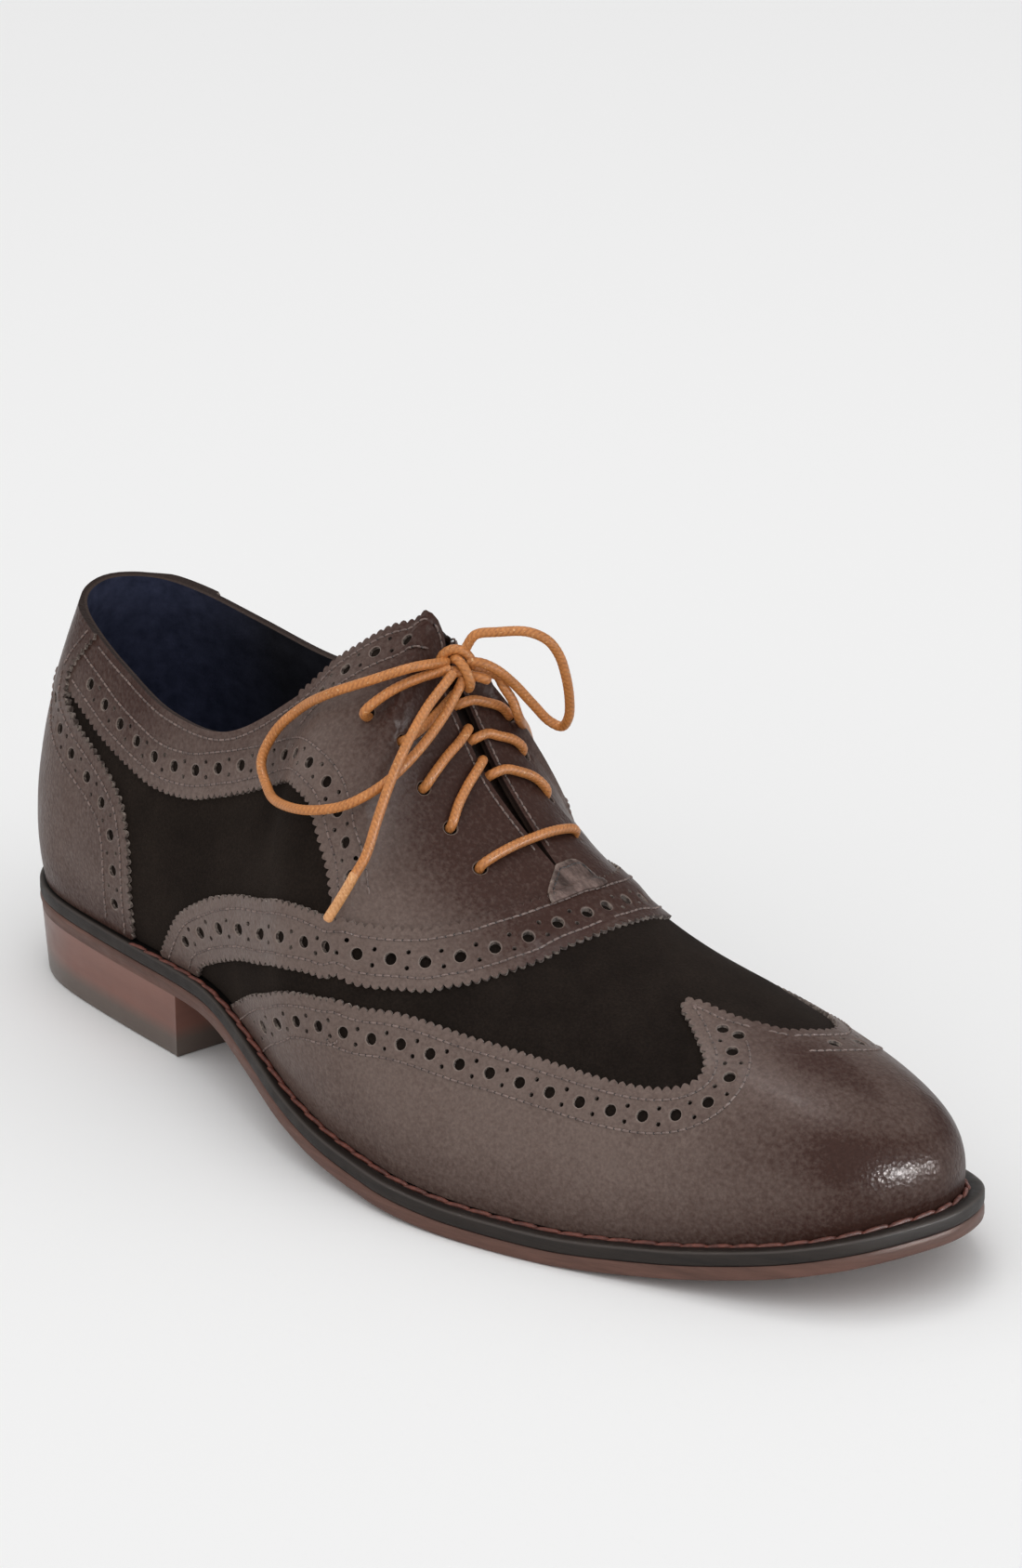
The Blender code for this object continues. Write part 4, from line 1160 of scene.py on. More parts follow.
def make_camera():
    """Camera at the photograph's place and angle."""
    data = bpy.data.cameras.new("camera")
    data.lens = CAMERA_LENS
    data.sensor_width = 36.0
    data.clip_end = 50.0
    made = add_object("camera", data)
    a = math.radians(CAMERA_TURN)
    e = math.radians(CAMERA_TILT)
    back = Vector((math.sin(a) * math.cos(e), -math.cos(a) * math.cos(e), math.sin(e)))
    made.location = tuple(place(CAMERA_PLACE))
    made.rotation_mode = "QUATERNION"
    made.rotation_quaternion = (-back).to_track_quat("-Z", "Y")
    bpy.context.scene.camera = made


def make_floor():
    """Plain pale floor."""
    bm = bmesh.new()
    bmesh.ops.create_grid(bm, x_segments=1, y_segments=1, size=12.0)
    mesh = bpy.data.meshes.new("floor")
    bm.to_mesh(mesh)
    bm.free()
    floor = add_object("floor", mesh)
    made, _, shader = new_material("floor")
    settle(shader, {"Base Color": (*grey(0.90), 1.0), "Roughness": 0.9, "Specular IOR Level": 0.1})
    mesh.materials.append(made)


# Brightness of the studio from its dim side to its front, and its lights: name, place, aim, size,
# power and whether it shows in gloss alone
STUDIO_FRONT = (0.55, -0.65, 0.5)
STUDIO_SIDES = (-0.6, 0.9)
STUDIO_LIGHT = (0.42, 1.03)
GLOSS_SPREAD = math.radians(10.0)
LIGHTS = (
    ("key_light", (0.4, -0.9, 1.6), (0.0, 0.0, 0.05), (1.8, 1.8), 3.0, False),
    ("toe_light", (1.5, 0.2, 1.3), (0.1, 0.0, 0.05), (0.8, 0.8), 1.2, False),
    ("top_light", (-0.22, 0.20, 1.5), (0.1, 0.0, 0.05), (0.6, 0.6), 3.0, False),
    ("toe_glint", (1.29, 0.10, 0.36), (0.143, 0.005, 0.032), (0.15, 0.14), 0.125, True),
    ("side_gloss", (1.02, 0.55, 0.24), (0.143, 0.015, 0.030), (0.20, 0.20), 0.085, True),
    ("top_gloss", (-0.22, 0.20, 1.5), (0.118, 0.0, 0.045), (0.25, 0.25), 0.030, True),
)


def make_light(name, spot, aim, size, power, gloss_only):
    """Soft rectangular light."""
    data = bpy.data.lights.new(name, "AREA")
    data.shape = "RECTANGLE"
    data.size = size[0]
    data.size_y = size[1]
    data.energy = power
    made = add_object(name, data)
    made.location = spot
    made.rotation_mode = "QUATERNION"
    made.rotation_quaternion = (Vector(aim) - Vector(spot)).to_track_quat("-Z", "Y")
    if gloss_only:
        made.visible_diffuse = False
        data.spread = GLOSS_SPREAD


def make_studio():
    """Pale surroundings, brighter in front, and the lights."""
    world = bpy.data.worlds.new("studio")
    world.use_nodes = True
    tree = world.node_tree
    spot = tree.nodes.new("ShaderNodeTexCoord")
    facing = tree.nodes.new("ShaderNodeVectorMath")
    facing.operation = "DOT_PRODUCT"
    facing.inputs[1].default_value = Vector(STUDIO_FRONT).normalized()
    tree.links.new(spot.outputs["Generated"], facing.inputs[0])
    background = tree.nodes["Background"]
    drive(background, "Strength", span(tree, facing.outputs["Value"], *STUDIO_SIDES, *STUDIO_LIGHT))
    settle(background, {"Color": (*grey(1.0), 1.0)})
    bpy.context.scene.world = world
    for light in LIGHTS:
        make_light(*light)
    bpy.context.scene.view_settings.view_transform = "Standard"


make_camera()
make_floor()
make_studio()


# Laces

BEND_POINTS = 1200
BRAID_SIDES = 16
BRAID_STEP = 0.42
BRAID_LAY = 2.6
BRAID_STRANDS = 4
BRAID_DEPTH = 0.09
BRAID_END = 0.55
AGLET_DEPTH = 0.03
BAR_TAPER = 0.8
AGLET_TAPER = 1.0
KNOT_TAPER = 1.2
HIDDEN_LIFTS = (-13.0, -4.0)


def bend(route, step):
    """Smooth curve through a route's own points, then evenly spaced points on it."""
    route = np.array(route, float)
    curve = through(route, apart(route), BEND_POINTS)
    run = running(apart(curve))
    return pick(curve, run, np.linspace(0, run[-1], max(4, int(round(run[-1] / step)) + 1)))


def braid_along(bm, line, radius, depth, taper):
    """Braided cord: a ring of points drawn along a line, raised where strands cross over."""
    run = np.arange(len(line)) * np.linalg.norm(line[1] - line[0])
    ahead = unit(np.gradient(line, axis=0))
    side = np.cross(ahead[0], (0.0, 0.0, 1.0))
    crown = bm.verts.layers.float["crown"]
    angle = np.linspace(0, 2 * math.pi, BRAID_SIDES, endpoint=False)
    circle = bmesh.ops.create_circle(bm, segments=BRAID_SIDES, radius=radius)["verts"]
    edges = list({e for p in circle for e in p.link_edges})
    for k, (spot, way) in enumerate(zip(line, ahead)):
        side = unit(side - way * np.dot(side, way))
        lay = 2 * math.pi * run[k] / BRAID_LAY
        strands = BRAID_STRANDS / 2 * angle
        relief = 1 - np.abs(np.sin(strands + lay) * np.sin(strands - lay)) ** 0.5
        end = min(run[k], run[-1] - run[k])
        reach = radius - depth * relief
        if end < taper:
            reach = reach * (BRAID_END + (1 - BRAID_END) * math.sqrt(max(0.0, 1 - (1 - end / taper) ** 2)))
        up = np.cross(way, side)
        points = spot + np.outer(reach * np.cos(angle), side) + np.outer(reach * np.sin(angle), up)
        if k:
            grown = bmesh.ops.extrude_edge_only(bm, edges=edges)["geom"]
            edges = [g for g in grown if isinstance(g, bmesh.types.BMEdge)]
            fresh = [g for g in grown if isinstance(g, bmesh.types.BMVert)]
            order = {}
            for vert in fresh:
                beside = [e.other_vert(vert) for e in vert.link_edges if e not in edges]
                order[index[next(p for p in beside if p in index)]] = vert
            circle = [order[i] for i in range(BRAID_SIDES)]
        else:
            bmesh.ops.contextual_create(bm, geom=edges)
        index = {vert: i for i, vert in enumerate(circle)}
        for vert, point, height in zip(circle, place(points), relief):
            vert.co = point
            vert[crown] = 1 - height
    bmesh.ops.contextual_create(bm, geom=edges)


def braid(name, routes, radius, material, slot, replaces=(), depth=BRAID_DEPTH, taper=0.0):
    """Piece of one or more braided cords, and the last one's line."""
    bm = bmesh.new()
    bm.verts.layers.float.new("crown")
    for route in routes:
        line = bend(route, BRAID_STEP)
        braid_along(bm, line, radius, depth, taper)
    bmesh.ops.recalc_face_normals(bm, faces=bm.faces)
    piece = finish_piece(name, bm, slot, material, sharp=60, replaces=replaces)
    return piece, place(line)


def on_wall(rows):
    """Places along a strand; a height over 1 is the share of the way over the slit."""
    made = []
    for t, v, lift in rows:
        half = np.linalg.norm(wall(t, 1.0) - wall(LOOP - t, 1.0)) / 2
        made.append(skin(t, v, lift) if v <= 1 else bridge(t, (2 * v - 3) * half, lift))
    return made


def make_tip(name, route, node):
    """Wrapped tip of a lace's end."""
    piece, _ = braid(name, (route,), AGLET_RADIUS, AGLET, "aglet", (node,), AGLET_DEPTH, AGLET_TAPER)
    return piece


def make_laces():
    """Bars over the slit, the knot, and the free stretches of the lace with their tips."""
    for number, strands in enumerate(BARS, 1):
        routes = [on_wall(strand) for strand in strands]
        node = "lace_row_%d" % number
        braid("lace_bar_%d" % number, routes, LACE_RADIUS, CORD, "lace_cord", (node,), taper=BAR_TAPER)
    knot = make_knot()
    tip_near = make_tip("aglet_near", TIP_NEAR, "lace_tip_near")
    tip_far = make_tip("aglet_far", on_wall(TIP_FAR_WALL), "lace_tip_far")
    near = EYELETS[-1]
    far = (LOOP - EYELETS_FAR[-1][0], EYELETS_FAR[-1][1])
    near_in, far_in = ([skin(*eyelet, lift) for lift in HIDDEN_LIFTS] for eyelet in (near, far))
    end_far = list(END_FAR) + on_wall(END_FAR_WALL)
    free = (
        ("lace_up_near", near_in + list(TOP_NEAR), "lace_top_near", "knot", [knot], "taut"),
        ("lace_up_far", far_in + on_wall(TOP_FAR_WALL) + list(TOP_FAR), "lace_top_far", "knot", [], "taut"),
        ("bow_loop_near", LOOP_NEAR, "lace_loop_near", "knot", [], "loose"),
        ("bow_loop_far", LOOP_FAR, "lace_loop_far", "knot", [], "loose"),
        ("lace_end_front", END_NEAR, "lace_end_near", "fitting", [tip_near], "hanging"),
        ("lace_end_back", end_far, "lace_end_far", "fitting", [tip_far], "hanging"),
    )
    for name, route, node, far_end, on_it, lay in free:
        piece, line = braid(name, (route,), LACE_RADIUS, CORD, "lace_cord", (node,))


# Strands of the knot in its own directions: across, up and out from its middle, in mm
KNOT_PLACE = (145.3, -4.2, 116.0)
KNOT_AXES = ((0.68, 0.73, 0.0), (-0.29, 0.27, 0.92), (0.67, -0.63, 0.39))
KNOT_STRANDS = (
    ((-5.6, 0.2, -0.8), (-4.5, 2.8, 0.6), (-2.3, 4.1, 1.6), (0.1, 3.8, 1.8), (1.9, 2.2, 0.9),
     (2.8, -0.4, -0.6)),
    ((-2.4, 1.8, -1.0), (-1.0, 1.6, 2.4), (0.9, -0.8, 3.4), (2.0, -3.4, 2.8), (1.9, -4.9, 0.6),
     (1.4, -5.3, -1.4)),
    ((-0.5, -2.0, -0.8), (2.5, -2.2, 0.4), (5.2, -2.8, 0.6), (6.6, -3.4, -0.8)),
    ((-4.8, -1.6, -0.6), (-2.4, -1.0, 0.8), (0.0, -1.6, 1.0), (2.0, -1.2, 0.0)),
)


def make_knot():
    """Strands of the bow's knot, wrapped over each other."""
    axes = np.array(KNOT_AXES)
    routes = [np.array(KNOT_PLACE) + np.array(strand) @ axes for strand in KNOT_STRANDS]
    piece, _ = braid("bow_knot", routes, LACE_RADIUS, CORD, "lace_cord", ("lace_knot",), taper=KNOT_TAPER)
    return piece


make_laces()


# Upper

SHELL_LEVELS = 44
RIM_FROM = 0.90


def make_shell():
    """Suede shell with its lining, one closed wall from sole to top edge."""
    rows = np.concatenate([CUT_ROWS[:-1], LOOP - CUT_ROWS[::-1]])
    bm = bmesh.new()
    bmesh.ops.create_grid(bm, x_segments=len(rows) - 1, y_segments=SHELL_LEVELS, size=1.0)
    both, grid, above = thicken(bm)
    t = np.interp(grid[:, 0], np.linspace(-1, 1, len(rows)), rows)
    v = (grid[:, 1] + 1) / 2
    inner = LINING_LIFT + RIM_TAPER * rise(v, RIM_FROM, 1.0)
    for vert, point in zip(both, place(skin(t, v, np.where(above, SUEDE_LIFT, inner)))):
        vert.co = point
    order = {vert: k for k, vert in enumerate(both)}
    row = row_of(t)
    shared = ((v > 1 - LINE_TOL) & (row >= SLIT_END - ROW_TOL)) | (row < SEAM_TOL)
    inside = []
    for face in bm.faces:
        mine = [order[p] for p in face.verts]
        face.material_index = 0 if above[mine].all() else 2 if above[mine].any() else 1
        if face.material_index == 2 and shared[mine].all():
            inside.append(face)
    bmesh.ops.delete(bm, geom=inside, context="FACES_ONLY")
    bmesh.ops.remove_doubles(bm, verts=bm.verts, dist=JOIN_MERGE)
    bmesh.ops.recalc_face_normals(bm, faces=bm.faces)
    return finish_piece("suede_shell", bm, "suede", SUEDE, LINING, TOP_EDGE, replaces=("upper",))


def no_lift(t, v):
    """Panel that lies on the suede all over."""
    return np.zeros(np.shape(t))


SPLIT = 4000


def over_facing(t, v):
    """Band lifted where its top edge lies over the facing."""
    spot = np.stack([t, v], -1).reshape(-1, 2) * CREASE_SCALE
    gaps = []
    for points in (BAND_TOP, BAND_FOOT):
        edge = plain(*points) * CREASE_SCALE
        parts = np.array_split(spot, 1 + len(spot) // SPLIT)
        near = [np.linalg.norm(part[:, None] - edge, axis=-1).min(1) for part in parts]
        gaps.append(np.concatenate(near))
    share = (gaps[1] / (gaps[0] + gaps[1])).reshape(np.shape(t))
    return OVERLAP_LIFT * rise(share, 0.25, 0.75) * rise(t, 8.2, 8.8)


def over_collar(t, v):
    """Counter lifted where it lies over the collar band."""
    return OVERLAP_LIFT * rise(v, 0.64, 0.73) * rise(t, 1.5, 2.2)


def join(*runs):
    """Closed edge from runs that meet end to start."""
    return np.concatenate([run[:-1] for run in runs])


def make_wing():
    """Wing cap, pinked up to its peak on each side."""
    toe = [
        plain((14.70, 1.0), (16.0, 1.0), (18.0, 1.0)), plain((18.0, 1.0), (18.0, 0.5), (18.0, 0.0)),
        plain((18.0, 0.0), (14.0, 0.0), (10.0, 0.0), (6.25, 0.0)),
    ]
    near = join(pinked(WING_EDGE, 1), pinked(WING_CROSS, 1), *toe)
    holes = punched(WING_EDGE, -1, trim=(1.0, 1.2)) + punched(WING_CROSS, -1, trim=(0.9, 0.2))
    far = join(pinked(WING_EDGE_FAR[::-1], 1), pinked(WING_CROSS_FAR[::-1], 1), *toe)
    far_holes = punched(WING_EDGE_FAR[::-1], -1, trim=(1.0, 1.0))
    halves = ((near, holes, False), (far, far_holes, True))
    return leather_panel("wing_cap_leather", halves, no_lift, ("wing_cap",))


def make_band():
    """Band round the vamp, over the facings' foot."""
    edge = join(
        pinked(BAND_TOP, 1), plain((12.06, 1.0), (12.33, 1.0), (12.60, 1.0)), pinked(BAND_FOOT[::-1], 1),
        plain((5.69, 0.0), (5.45, 0.0), (5.22, 0.0)),
    )
    holes = punched(BAND_FOOT, 1, 6.4, (0.8, 0.4))
    halves = ((edge, holes, False), (edge, holes, True))
    return leather_panel("vamp_band_leather", halves, over_facing, ("vamp_band",))


def top_edge(first, last, count):
    """Points along the upper's top edge between two rows."""
    return [(t, 1.0) for t in np.linspace(first, last, count)]


def make_quarters():
    """Collar band and facing of each side, in one piece."""
    facing = top_edge(*FACING_TOP, 6)
    edge = join(
        plain(*top_edge(2.4, FACING_TOP[0], 12)), pinked(facing, 1),
        plain(*top_edge(FACING_TOP[1], FACING_FOOT[-1][0], 6)), plain(*FACING_FOOT[::-1]),
        pinked(COLLAR_FOOT[::-1], 1),
        plain((2.70, 0.765), (2.55, 0.78), (2.4, 0.80)), plain((2.4, 0.80), (2.4, 0.9), (2.4, 1.0)),
    )
    holes = punched(COLLAR_FOOT, 1, trim=(0.9, 0.6)) + punched(facing, -1, 5.6, (1.0, 0.7))
    sides = (
        ("quarter_near", False, "quarter_lateral", EYELETS),
        ("quarter_far", True, "quarter_medial", EYELETS_FAR),
    )
    room = EYELET_HOLE + HOLE_MARGIN
    for name, mirrored, node, eyelets in sides:
        round_ones = [(np.array(spot), EYELET_HOLE, HOLE_CORNERS, room) for spot in eyelets]
        leather_panel(name, ((edge, holes + round_ones, mirrored),), no_lift, (node,))


def make_counter():
    """Counter round the heel."""
    edge = join(
        pinked(COUNTER_FRONT, -1), pinked(COUNTER_TOP, -1), plain((3.12, 1.0), (1.5, 1.0), (0.0, 1.0)),
        plain((0.0, 1.0), (0.0, 0.5), (0.0, 0.0)), plain((0.0, 0.0), (2.4, 0.0), (4.74, 0.0)),
    )
    holes = punched(COUNTER_FRONT, 1, trim=(0.8, 0.9))
    halves = ((edge, holes, False), (edge, holes, True))
    return leather_panel("heel_counter_leather", halves, over_collar, ("heel_counter",))


def make_seams():
    """Rows of stitches beside the pinked edges, the top edge and the slit."""
    top = top_edge(3.3, FACING_TOP[0], 12)
    facing = top_edge(*FACING_TOP, 6)
    slit = top_edge(FACING_TOP[1] + 0.1, 11.6, 6)
    counter = (COUNTER_FRONT, COUNTER_TOP)
    wings = (
        ("near", False, WING_EDGE, WING_CROSS), ("far", True, WING_EDGE_FAR[::-1], WING_CROSS_FAR[::-1]),
    )
    for name, mirrored, wing, cross in wings:
        rows = []
        for inset in (SEAM_NEAR, SEAM_FAR):
            rows += [
                (wing, inset, -1, no_lift, (wing, cross)), (cross, inset, -1, no_lift, (wing, cross)),
                (COLLAR_FOOT, inset, 1, no_lift, (COLLAR_FOOT,)),
                (COUNTER_FRONT, inset, 1, over_collar, counter),
            ]
        rows += [
            (COUNTER_TOP, SEAM_NEAR, 1, over_collar, counter),
            (BAND_TOP, SEAM_NEAR, -1, over_facing, (BAND_TOP,)),
            (BAND_FOOT, SEAM_NEAR, 1, over_facing, (BAND_FOOT,)),
            (top, TOP_SEAM, -1, no_lift, (top,)), (slit, SLIT_SEAM, -1, no_lift, (slit,)),
            (facing, SEAM_NEAR, -1, no_lift, (facing, slit)),
            (facing, FACING_SEAM, -1, no_lift, (facing, top, slit)),
        ]
        stitches(name, rows, mirrored)


# Tab: rows and millimetres across, its free edge and the edge under the band
TAB_EDGE = (
    (11.92, -11.4), (11.87, -10.9), (11.825, -8.4), (11.80, -3.5), (11.785, -0.3), (11.74, 2.3), (11.67, 5.6),
    (11.635, 8.2), (11.66, 9.8), (11.74, 10.5), (11.90, 10.5),
)
TAB_FOOT = (
    (11.965, 8.6), (12.02, 6.4), (12.085, 3.2), (12.145, 0.0), (12.085, -3.2), (12.02, -6.4), (11.965, -9.0),
)
TAB_BAND = (12.06, 0.0198)
TAB_LIFT = (0.45, 1.15)
TAB_STEP = 1.15
TAB_SEAM = 1.5
TAB_STITCH_PITCH = 1.7
TAB_STITCH_RADIUS = 0.22
TAB_STITCH_BOW = (-0.15, 0.05)
TAB_STITCH_GAP = 0.12
TAB_BURNISH = 0.35
TAB_BEVEL = 0.4


def tab_step(row, across):
    """Tab lifted where it lies over the band's margin."""
    return TAB_STEP * rise(row - TAB_BAND[0] + TAB_BAND[1] * np.abs(across), -0.06, 0.0)


def make_tab():
    """Rounded tab at the foot of the slit, its base under the band."""
    bm = bmesh.new()
    rim = bm.verts.layers.float.new("rim")
    tone = bm.verts.layers.float.new("burnish_and_painted_light")
    length = np.linalg.norm(wall(12.0, 1.0) - wall(11.0, 1.0))
    free = bend([(row * length, across, 0.0) for row, across in TAB_EDGE], 0.8)
    rest = [(row * length, across, 0.0) for row, across in TAB_FOOT]
    corners = [bm.verts.new(spot) for spot in [*free, *rest]]
    edges = [bm.edges.new((corners[i - 1], corners[i])) for i in range(len(corners))]
    bmesh.ops.contextual_create(bm, geom=edges)
    low, high = free.min(0), np.max(rest, axis=0)
    cuts = [((x, 0, 0), (1, 0, 0)) for x in np.arange(low[0] + 0.5, high[0], 1.0)]
    cuts += [((0, y, 0), (0, 1, 0)) for y in np.arange(low[1] + 0.5, free[:, 1].max(), 1.0)]
    cut_through(bm, cuts)
    both, flat, above = thicken(bm)
    gap = np.linalg.norm(flat[:, None] - free[None, :, :2], axis=-1).min(1)
    lift = np.where(above, TAB_LIFT[1] - TAB_BEVEL * (1 - rise(gap, 0.0, 0.9)), TAB_LIFT[0])
    lift = lift + tab_step(flat[:, 0] / length, flat[:, 1])
    for vert, point, near in zip(both, place(bridge(flat[:, 0] / length, flat[:, 1], lift)), gap):
        vert.co = point
        vert[rim] = 0.8 * float(1 - rise(near, 0.2, 0.9))
        vert[tone] = TAB_BURNISH
    bmesh.ops.recalc_face_normals(bm, faces=bm.faces)
    run = np.gradient(free[:, :2], axis=0)
    side = np.stack([run[:, 1], -run[:, 0]], -1) / np.linalg.norm(run, axis=1)[:, None]
    side *= np.sign((side * (np.mean(rest, axis=0)[:2] - free[:, :2])).sum())
    seam = bend(np.c_[free[:, :2] + TAB_SEAM * side, np.zeros(len(free))][2:-2:3], TAB_STITCH_PITCH)
    x, y = seam[:, 0] / length, seam[:, 1]
    high = TAB_LIFT[1] + tab_step(x, y)
    low, crown = TAB_STITCH_BOW
    ends = bridge(x, y, high + low)
    ends = np.stack([ends[:-1], ends[1:]], 1)
    bow = bridge(*((a[1:] + a[:-1]) / 2 for a in (x, y)), (high[1:] + high[:-1]) / 2 + crown)
    inner = TAB_STITCH_GAP * ends[:, ::-1] + (1 - TAB_STITCH_GAP) * ends
    lines = list(np.stack([inner[:, 0], bow, inner[:, 1]], 1))
    # tab stitches drawn in the near-black of the needle holes' painted shade
    cords("tab_stitches", lines, TAB_STITCH_RADIUS, NEEDLE_HOLE_SHADE)
    return finish_piece("throat_tab", bm, "upper_leather", TAB_LEATHER)


# Tongue: rows down the slit, how far its tip stands up and how wide it is there
TONGUE = (
    (9.45, 8.4, 0.10), (9.45, 8.1, 0.45), (9.45, 7.2, 0.70), (9.45, 5.6, 0.88), (9.45, 3.2, 0.98),
    *((row, 0.0, 1.0) for row in (9.45, 9.7, 10.0, 10.3, 10.6, 10.9, 11.2, 11.5, 11.8)),
)
TONGUE_HALF = 12.0
TONGUE_LIFTS = (-5.0, -3.1)
TONGUE_RISE = (-0.50, 0.05, 0.865)
# How dark the tongue is made all over: painted shade
TONGUE_PAINTED_SHADE = 0.9


def make_tongue():
    """Leather tongue under the slit, with a rounded tip, coloured dark with painted shade."""
    bm = bmesh.new()
    tone = bm.verts.layers.float.new("burnish_and_painted_light")
    bmesh.ops.create_grid(bm, x_segments=4 * (len(TONGUE) - 1), y_segments=24, size=1.0)
    both, flat, above = thicken(bm)
    spot = (flat[:, 0] + 1) / 2 * (len(TONGUE) - 1)
    row, up, wide = (np.interp(spot, np.arange(len(TONGUE)), column) for column in zip(*TONGUE))
    points = bridge(row, flat[:, 1] * TONGUE_HALF * wide, np.where(above, TONGUE_LIFTS[1], TONGUE_LIFTS[0]))
    points += up[:, None] * np.array(TONGUE_RISE)
    for vert, point in zip(both, place(points)):
        vert.co = point
        vert[tone] = TONGUE_PAINTED_SHADE
    bmesh.ops.recalc_face_normals(bm, faces=bm.faces)
    return finish_piece("tongue_leather", bm, "tongue_leather", TONGUE_PAINTED_SHADE_LEATHER, replaces=("tongue",))


make_shell()
make_wing()
make_band()
make_quarters()
make_counter()
make_seams()
make_tab()
make_tongue()


# Sole and heel

def drawn_up(name, plans, slot, material, replaces, sharp=50, rims=None):
    """Solid drawn up through loops of points, closed below and above; rims says how pale each loop is, and
    below 0 how dark the painted shade of the welt's groove.
    """
    count = len(plans[0])
    bm = bmesh.new()
    rim = bm.verts.layers.float.new("rim")
    loop = bmesh.ops.create_circle(bm, segments=count, radius=1.0)["verts"]
    edges = [bm.edges.get((loop[i], loop[(i + 1) % count])) for i in range(count)]
    for k, plan in enumerate(plans):
        if k:
            grown = bmesh.ops.extrude_edge_only(bm, edges=edges)["geom"]
            fresh = {g for g in grown if isinstance(g, bmesh.types.BMVert)}
            loop = [next(e.other_vert(p) for e in p.link_edges if e.other_vert(p) in fresh) for p in loop]
            edges = [bm.edges.get((loop[i], loop[(i + 1) % count])) for i in range(count)]
        else:
            first = edges
        for vert, spot in zip(loop, place(plan)):
            vert.co = spot
            vert[rim] = rims[k] if rims else 0.0
    for end in (first, edges):
        bmesh.ops.triangle_fill(bm, use_beauty=True, edges=end)
    bmesh.ops.recalc_face_normals(bm, faces=bm.faces)
    return finish_piece(name, bm, slot, material, sharp=sharp, replaces=replaces)


SOLE_POINTS = 420
HEEL_POINTS = 140
HEEL_FLUSH = 0.5
WELT_LIP = 0.9
GROOVE = 0.75
GROOVE_OUT = 2.3
GROOVE_IN = 1.5
WELT_STITCH_ROWS = (4.78, 31.22)
WELT_STITCH_PITCH = 6.3
WELT_STITCH_RADIUS = 0.62
INSOLE_EDGE = 4.0
INSOLE_LEVELS = ((0.5, 8.0), (0.0, 8.5), (0.0, 9.6), (0.6, 10.2))


def sole_loop(inset, height):
    """Sole's outline moved in, at a height over its underside."""
    t = np.linspace(0, LOOP, SOLE_POINTS, endpoint=False)
    plan = outline(t, inset)
    edge = outline(t, 0.0)
    return np.c_[plan, underside(edge[:, 0]) + height]


def breast_row(side):
    """Row where the heel's front face meets the sole's edge."""
    low, high = 4.0, 7.0
    lean = math.tan(math.radians(HEEL_BREAST_SKEW))
    for _ in range(40):
        mid = (low + high) / 2
        x, y = outline(np.array(mid if side < 0 else LOOP - mid))
        if x < HEEL_BREAST_X + (y - COLUMN["lat"][5]) * lean:
            low = mid
        else:
            high = mid
    return low


def heel_loop(z, inset=0.0):
    """Heel's outline at a height, with its taper."""
    t = np.linspace(-breast_row(1), breast_row(-1), HEEL_POINTS)
    taper = HEEL_TAPER_FOOT + (HEEL_TAPER_TOP - HEEL_TAPER_FOOT) * z / HEEL_HEIGHT + inset
    plan = outline(t, np.full(t.shape, taper))
    plan[[0, -1], 0] -= taper
    return np.c_[plan, np.full(HEEL_POINTS, z)]


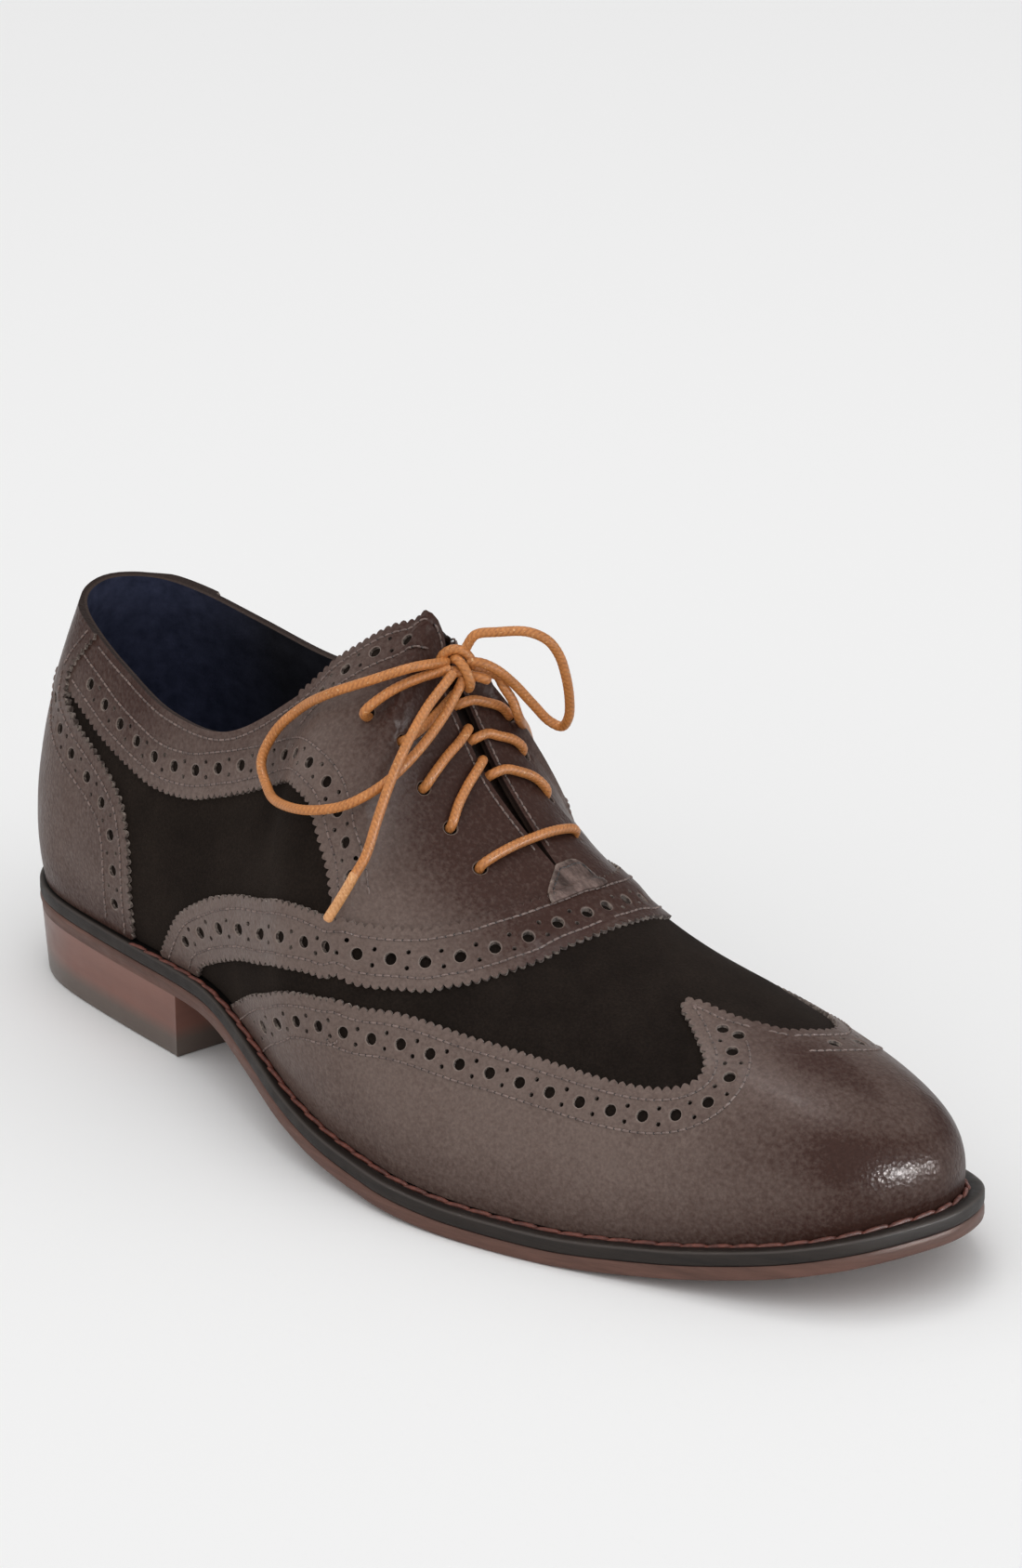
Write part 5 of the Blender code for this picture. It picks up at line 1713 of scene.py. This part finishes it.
def make_sole():
    """Outsole, welt with its groove, heel and sock lining."""
    t = np.linspace(0, LOOP, SOLE_POINTS, endpoint=False)
    x = outline(t)[:, 0]
    heel = 1 - rise(x, HEEL_BREAST_X - 4, HEEL_BREAST_X + 8)
    profile = ((0.7, 0.0), (0.15, 0.35), (0.0, 1.0), (0.0, 2.6), (0.10, 3.3), (0.4, OUTSOLE_THICK))
    loops = [sole_loop(i + (HEEL_FLUSH - i) * heel * (h < 2), h) for i, h in profile]
    drawn_up("outsole_leather", loops, "sole_leather", OUTSOLE_EDGE, ("outsole",))
    low = OUTSOLE_THICK + GAP * 0.3
    foot = smooth("inset", t)
    groove = GROOVE * rise(foot, 2.3, 4.0)
    outer = np.maximum(WELT_LIP + 0.25, foot - GROOVE_OUT)
    inner = np.maximum(WELT_LIP + 0.5, foot - GROOVE_IN)
    # Third values: paler along the welt's top lip, and below 0 painted shade in the groove
    profile = (
        (0.5, low, 0.0), (0.08, low + 0.45, 0.0), (0.0, low + 1.1, 0.0), (0.02, SOLE_THICK - 0.55, 0.05),
        (0.10, SOLE_THICK - 0.25, 0.6), (0.30, SOLE_THICK - 0.06, 0.9), (WELT_LIP, SOLE_THICK, 0.25),
        (outer, SOLE_THICK - 0.05 * groove, -0.6), (inner, SOLE_THICK - groove, -1.0),
        (foot + 1.5, SOLE_THICK - groove, -1.0),
    )
    loops = [sole_loop(i, h) for i, h, _ in profile]
    drawn_up("welt_leather", loops, "welt_leather", WELT_EDGE, ("welt",), rims=[r for _, _, r in profile])
    drawn_up("heel_stack_leather", [heel_loop(z) for z in (TOPLIFT_THICK, 9.0, 12.0, 15.0, HEEL_HEIGHT)],
             "sole_leather", HEEL_EDGE, ("heel_stack",))
    levels = ((0.0, 0.5), (0.25, 0.12), (0.6, 0.0), (3.0, 0.0), (TOPLIFT_THICK, 0.0))
    loops = [heel_loop(z, i) for z, i in levels]
    drawn_up("heel_toplift_rubber", loops, "toplift_rubber", HEEL_EDGE, ("heel_toplift",))
    loops = [sole_loop(foot + INSOLE_EDGE + i, h) for i, h in INSOLE_LEVELS]
    drawn_up("sock_lining", loops, "lining", LINING, ("insole",))


def make_welt_stitches():
    """Thick stitches laid end over end in the welt's groove."""
    t = np.linspace(*WELT_STITCH_ROWS, 1600)
    plan = outline(t, smooth("inset", t) - GROOVE_IN)
    run = running(apart(plan))
    count = int(round(run[-1] / WELT_STITCH_PITCH))
    share = np.array([-0.04, 0.05, 0.2, 0.5, 0.8, 0.95, 1.04])
    bow = np.array([-0.55, -0.10, 0.22, 0.30, 0.22, -0.10, -0.55])
    lean = np.array([-0.42, -0.36, -0.22, 0.0, 0.22, 0.36, 0.42])
    lines = []
    for k in range(count):
        row = np.interp((k + share) * run[-1] / count, run, t)
        spots = outline(row, smooth("inset", row) - GROOVE_IN + 0.2 + lean)
        edge = outline(row, np.zeros(len(row)))
        lines.append(np.c_[spots, underside(edge[:, 0]) + SOLE_THICK - GROOVE + 0.35 + bow])
    cords("welt_stitches", lines, WELT_STITCH_RADIUS, WELT_THREAD, 2)


make_sole()
make_welt_stitches()
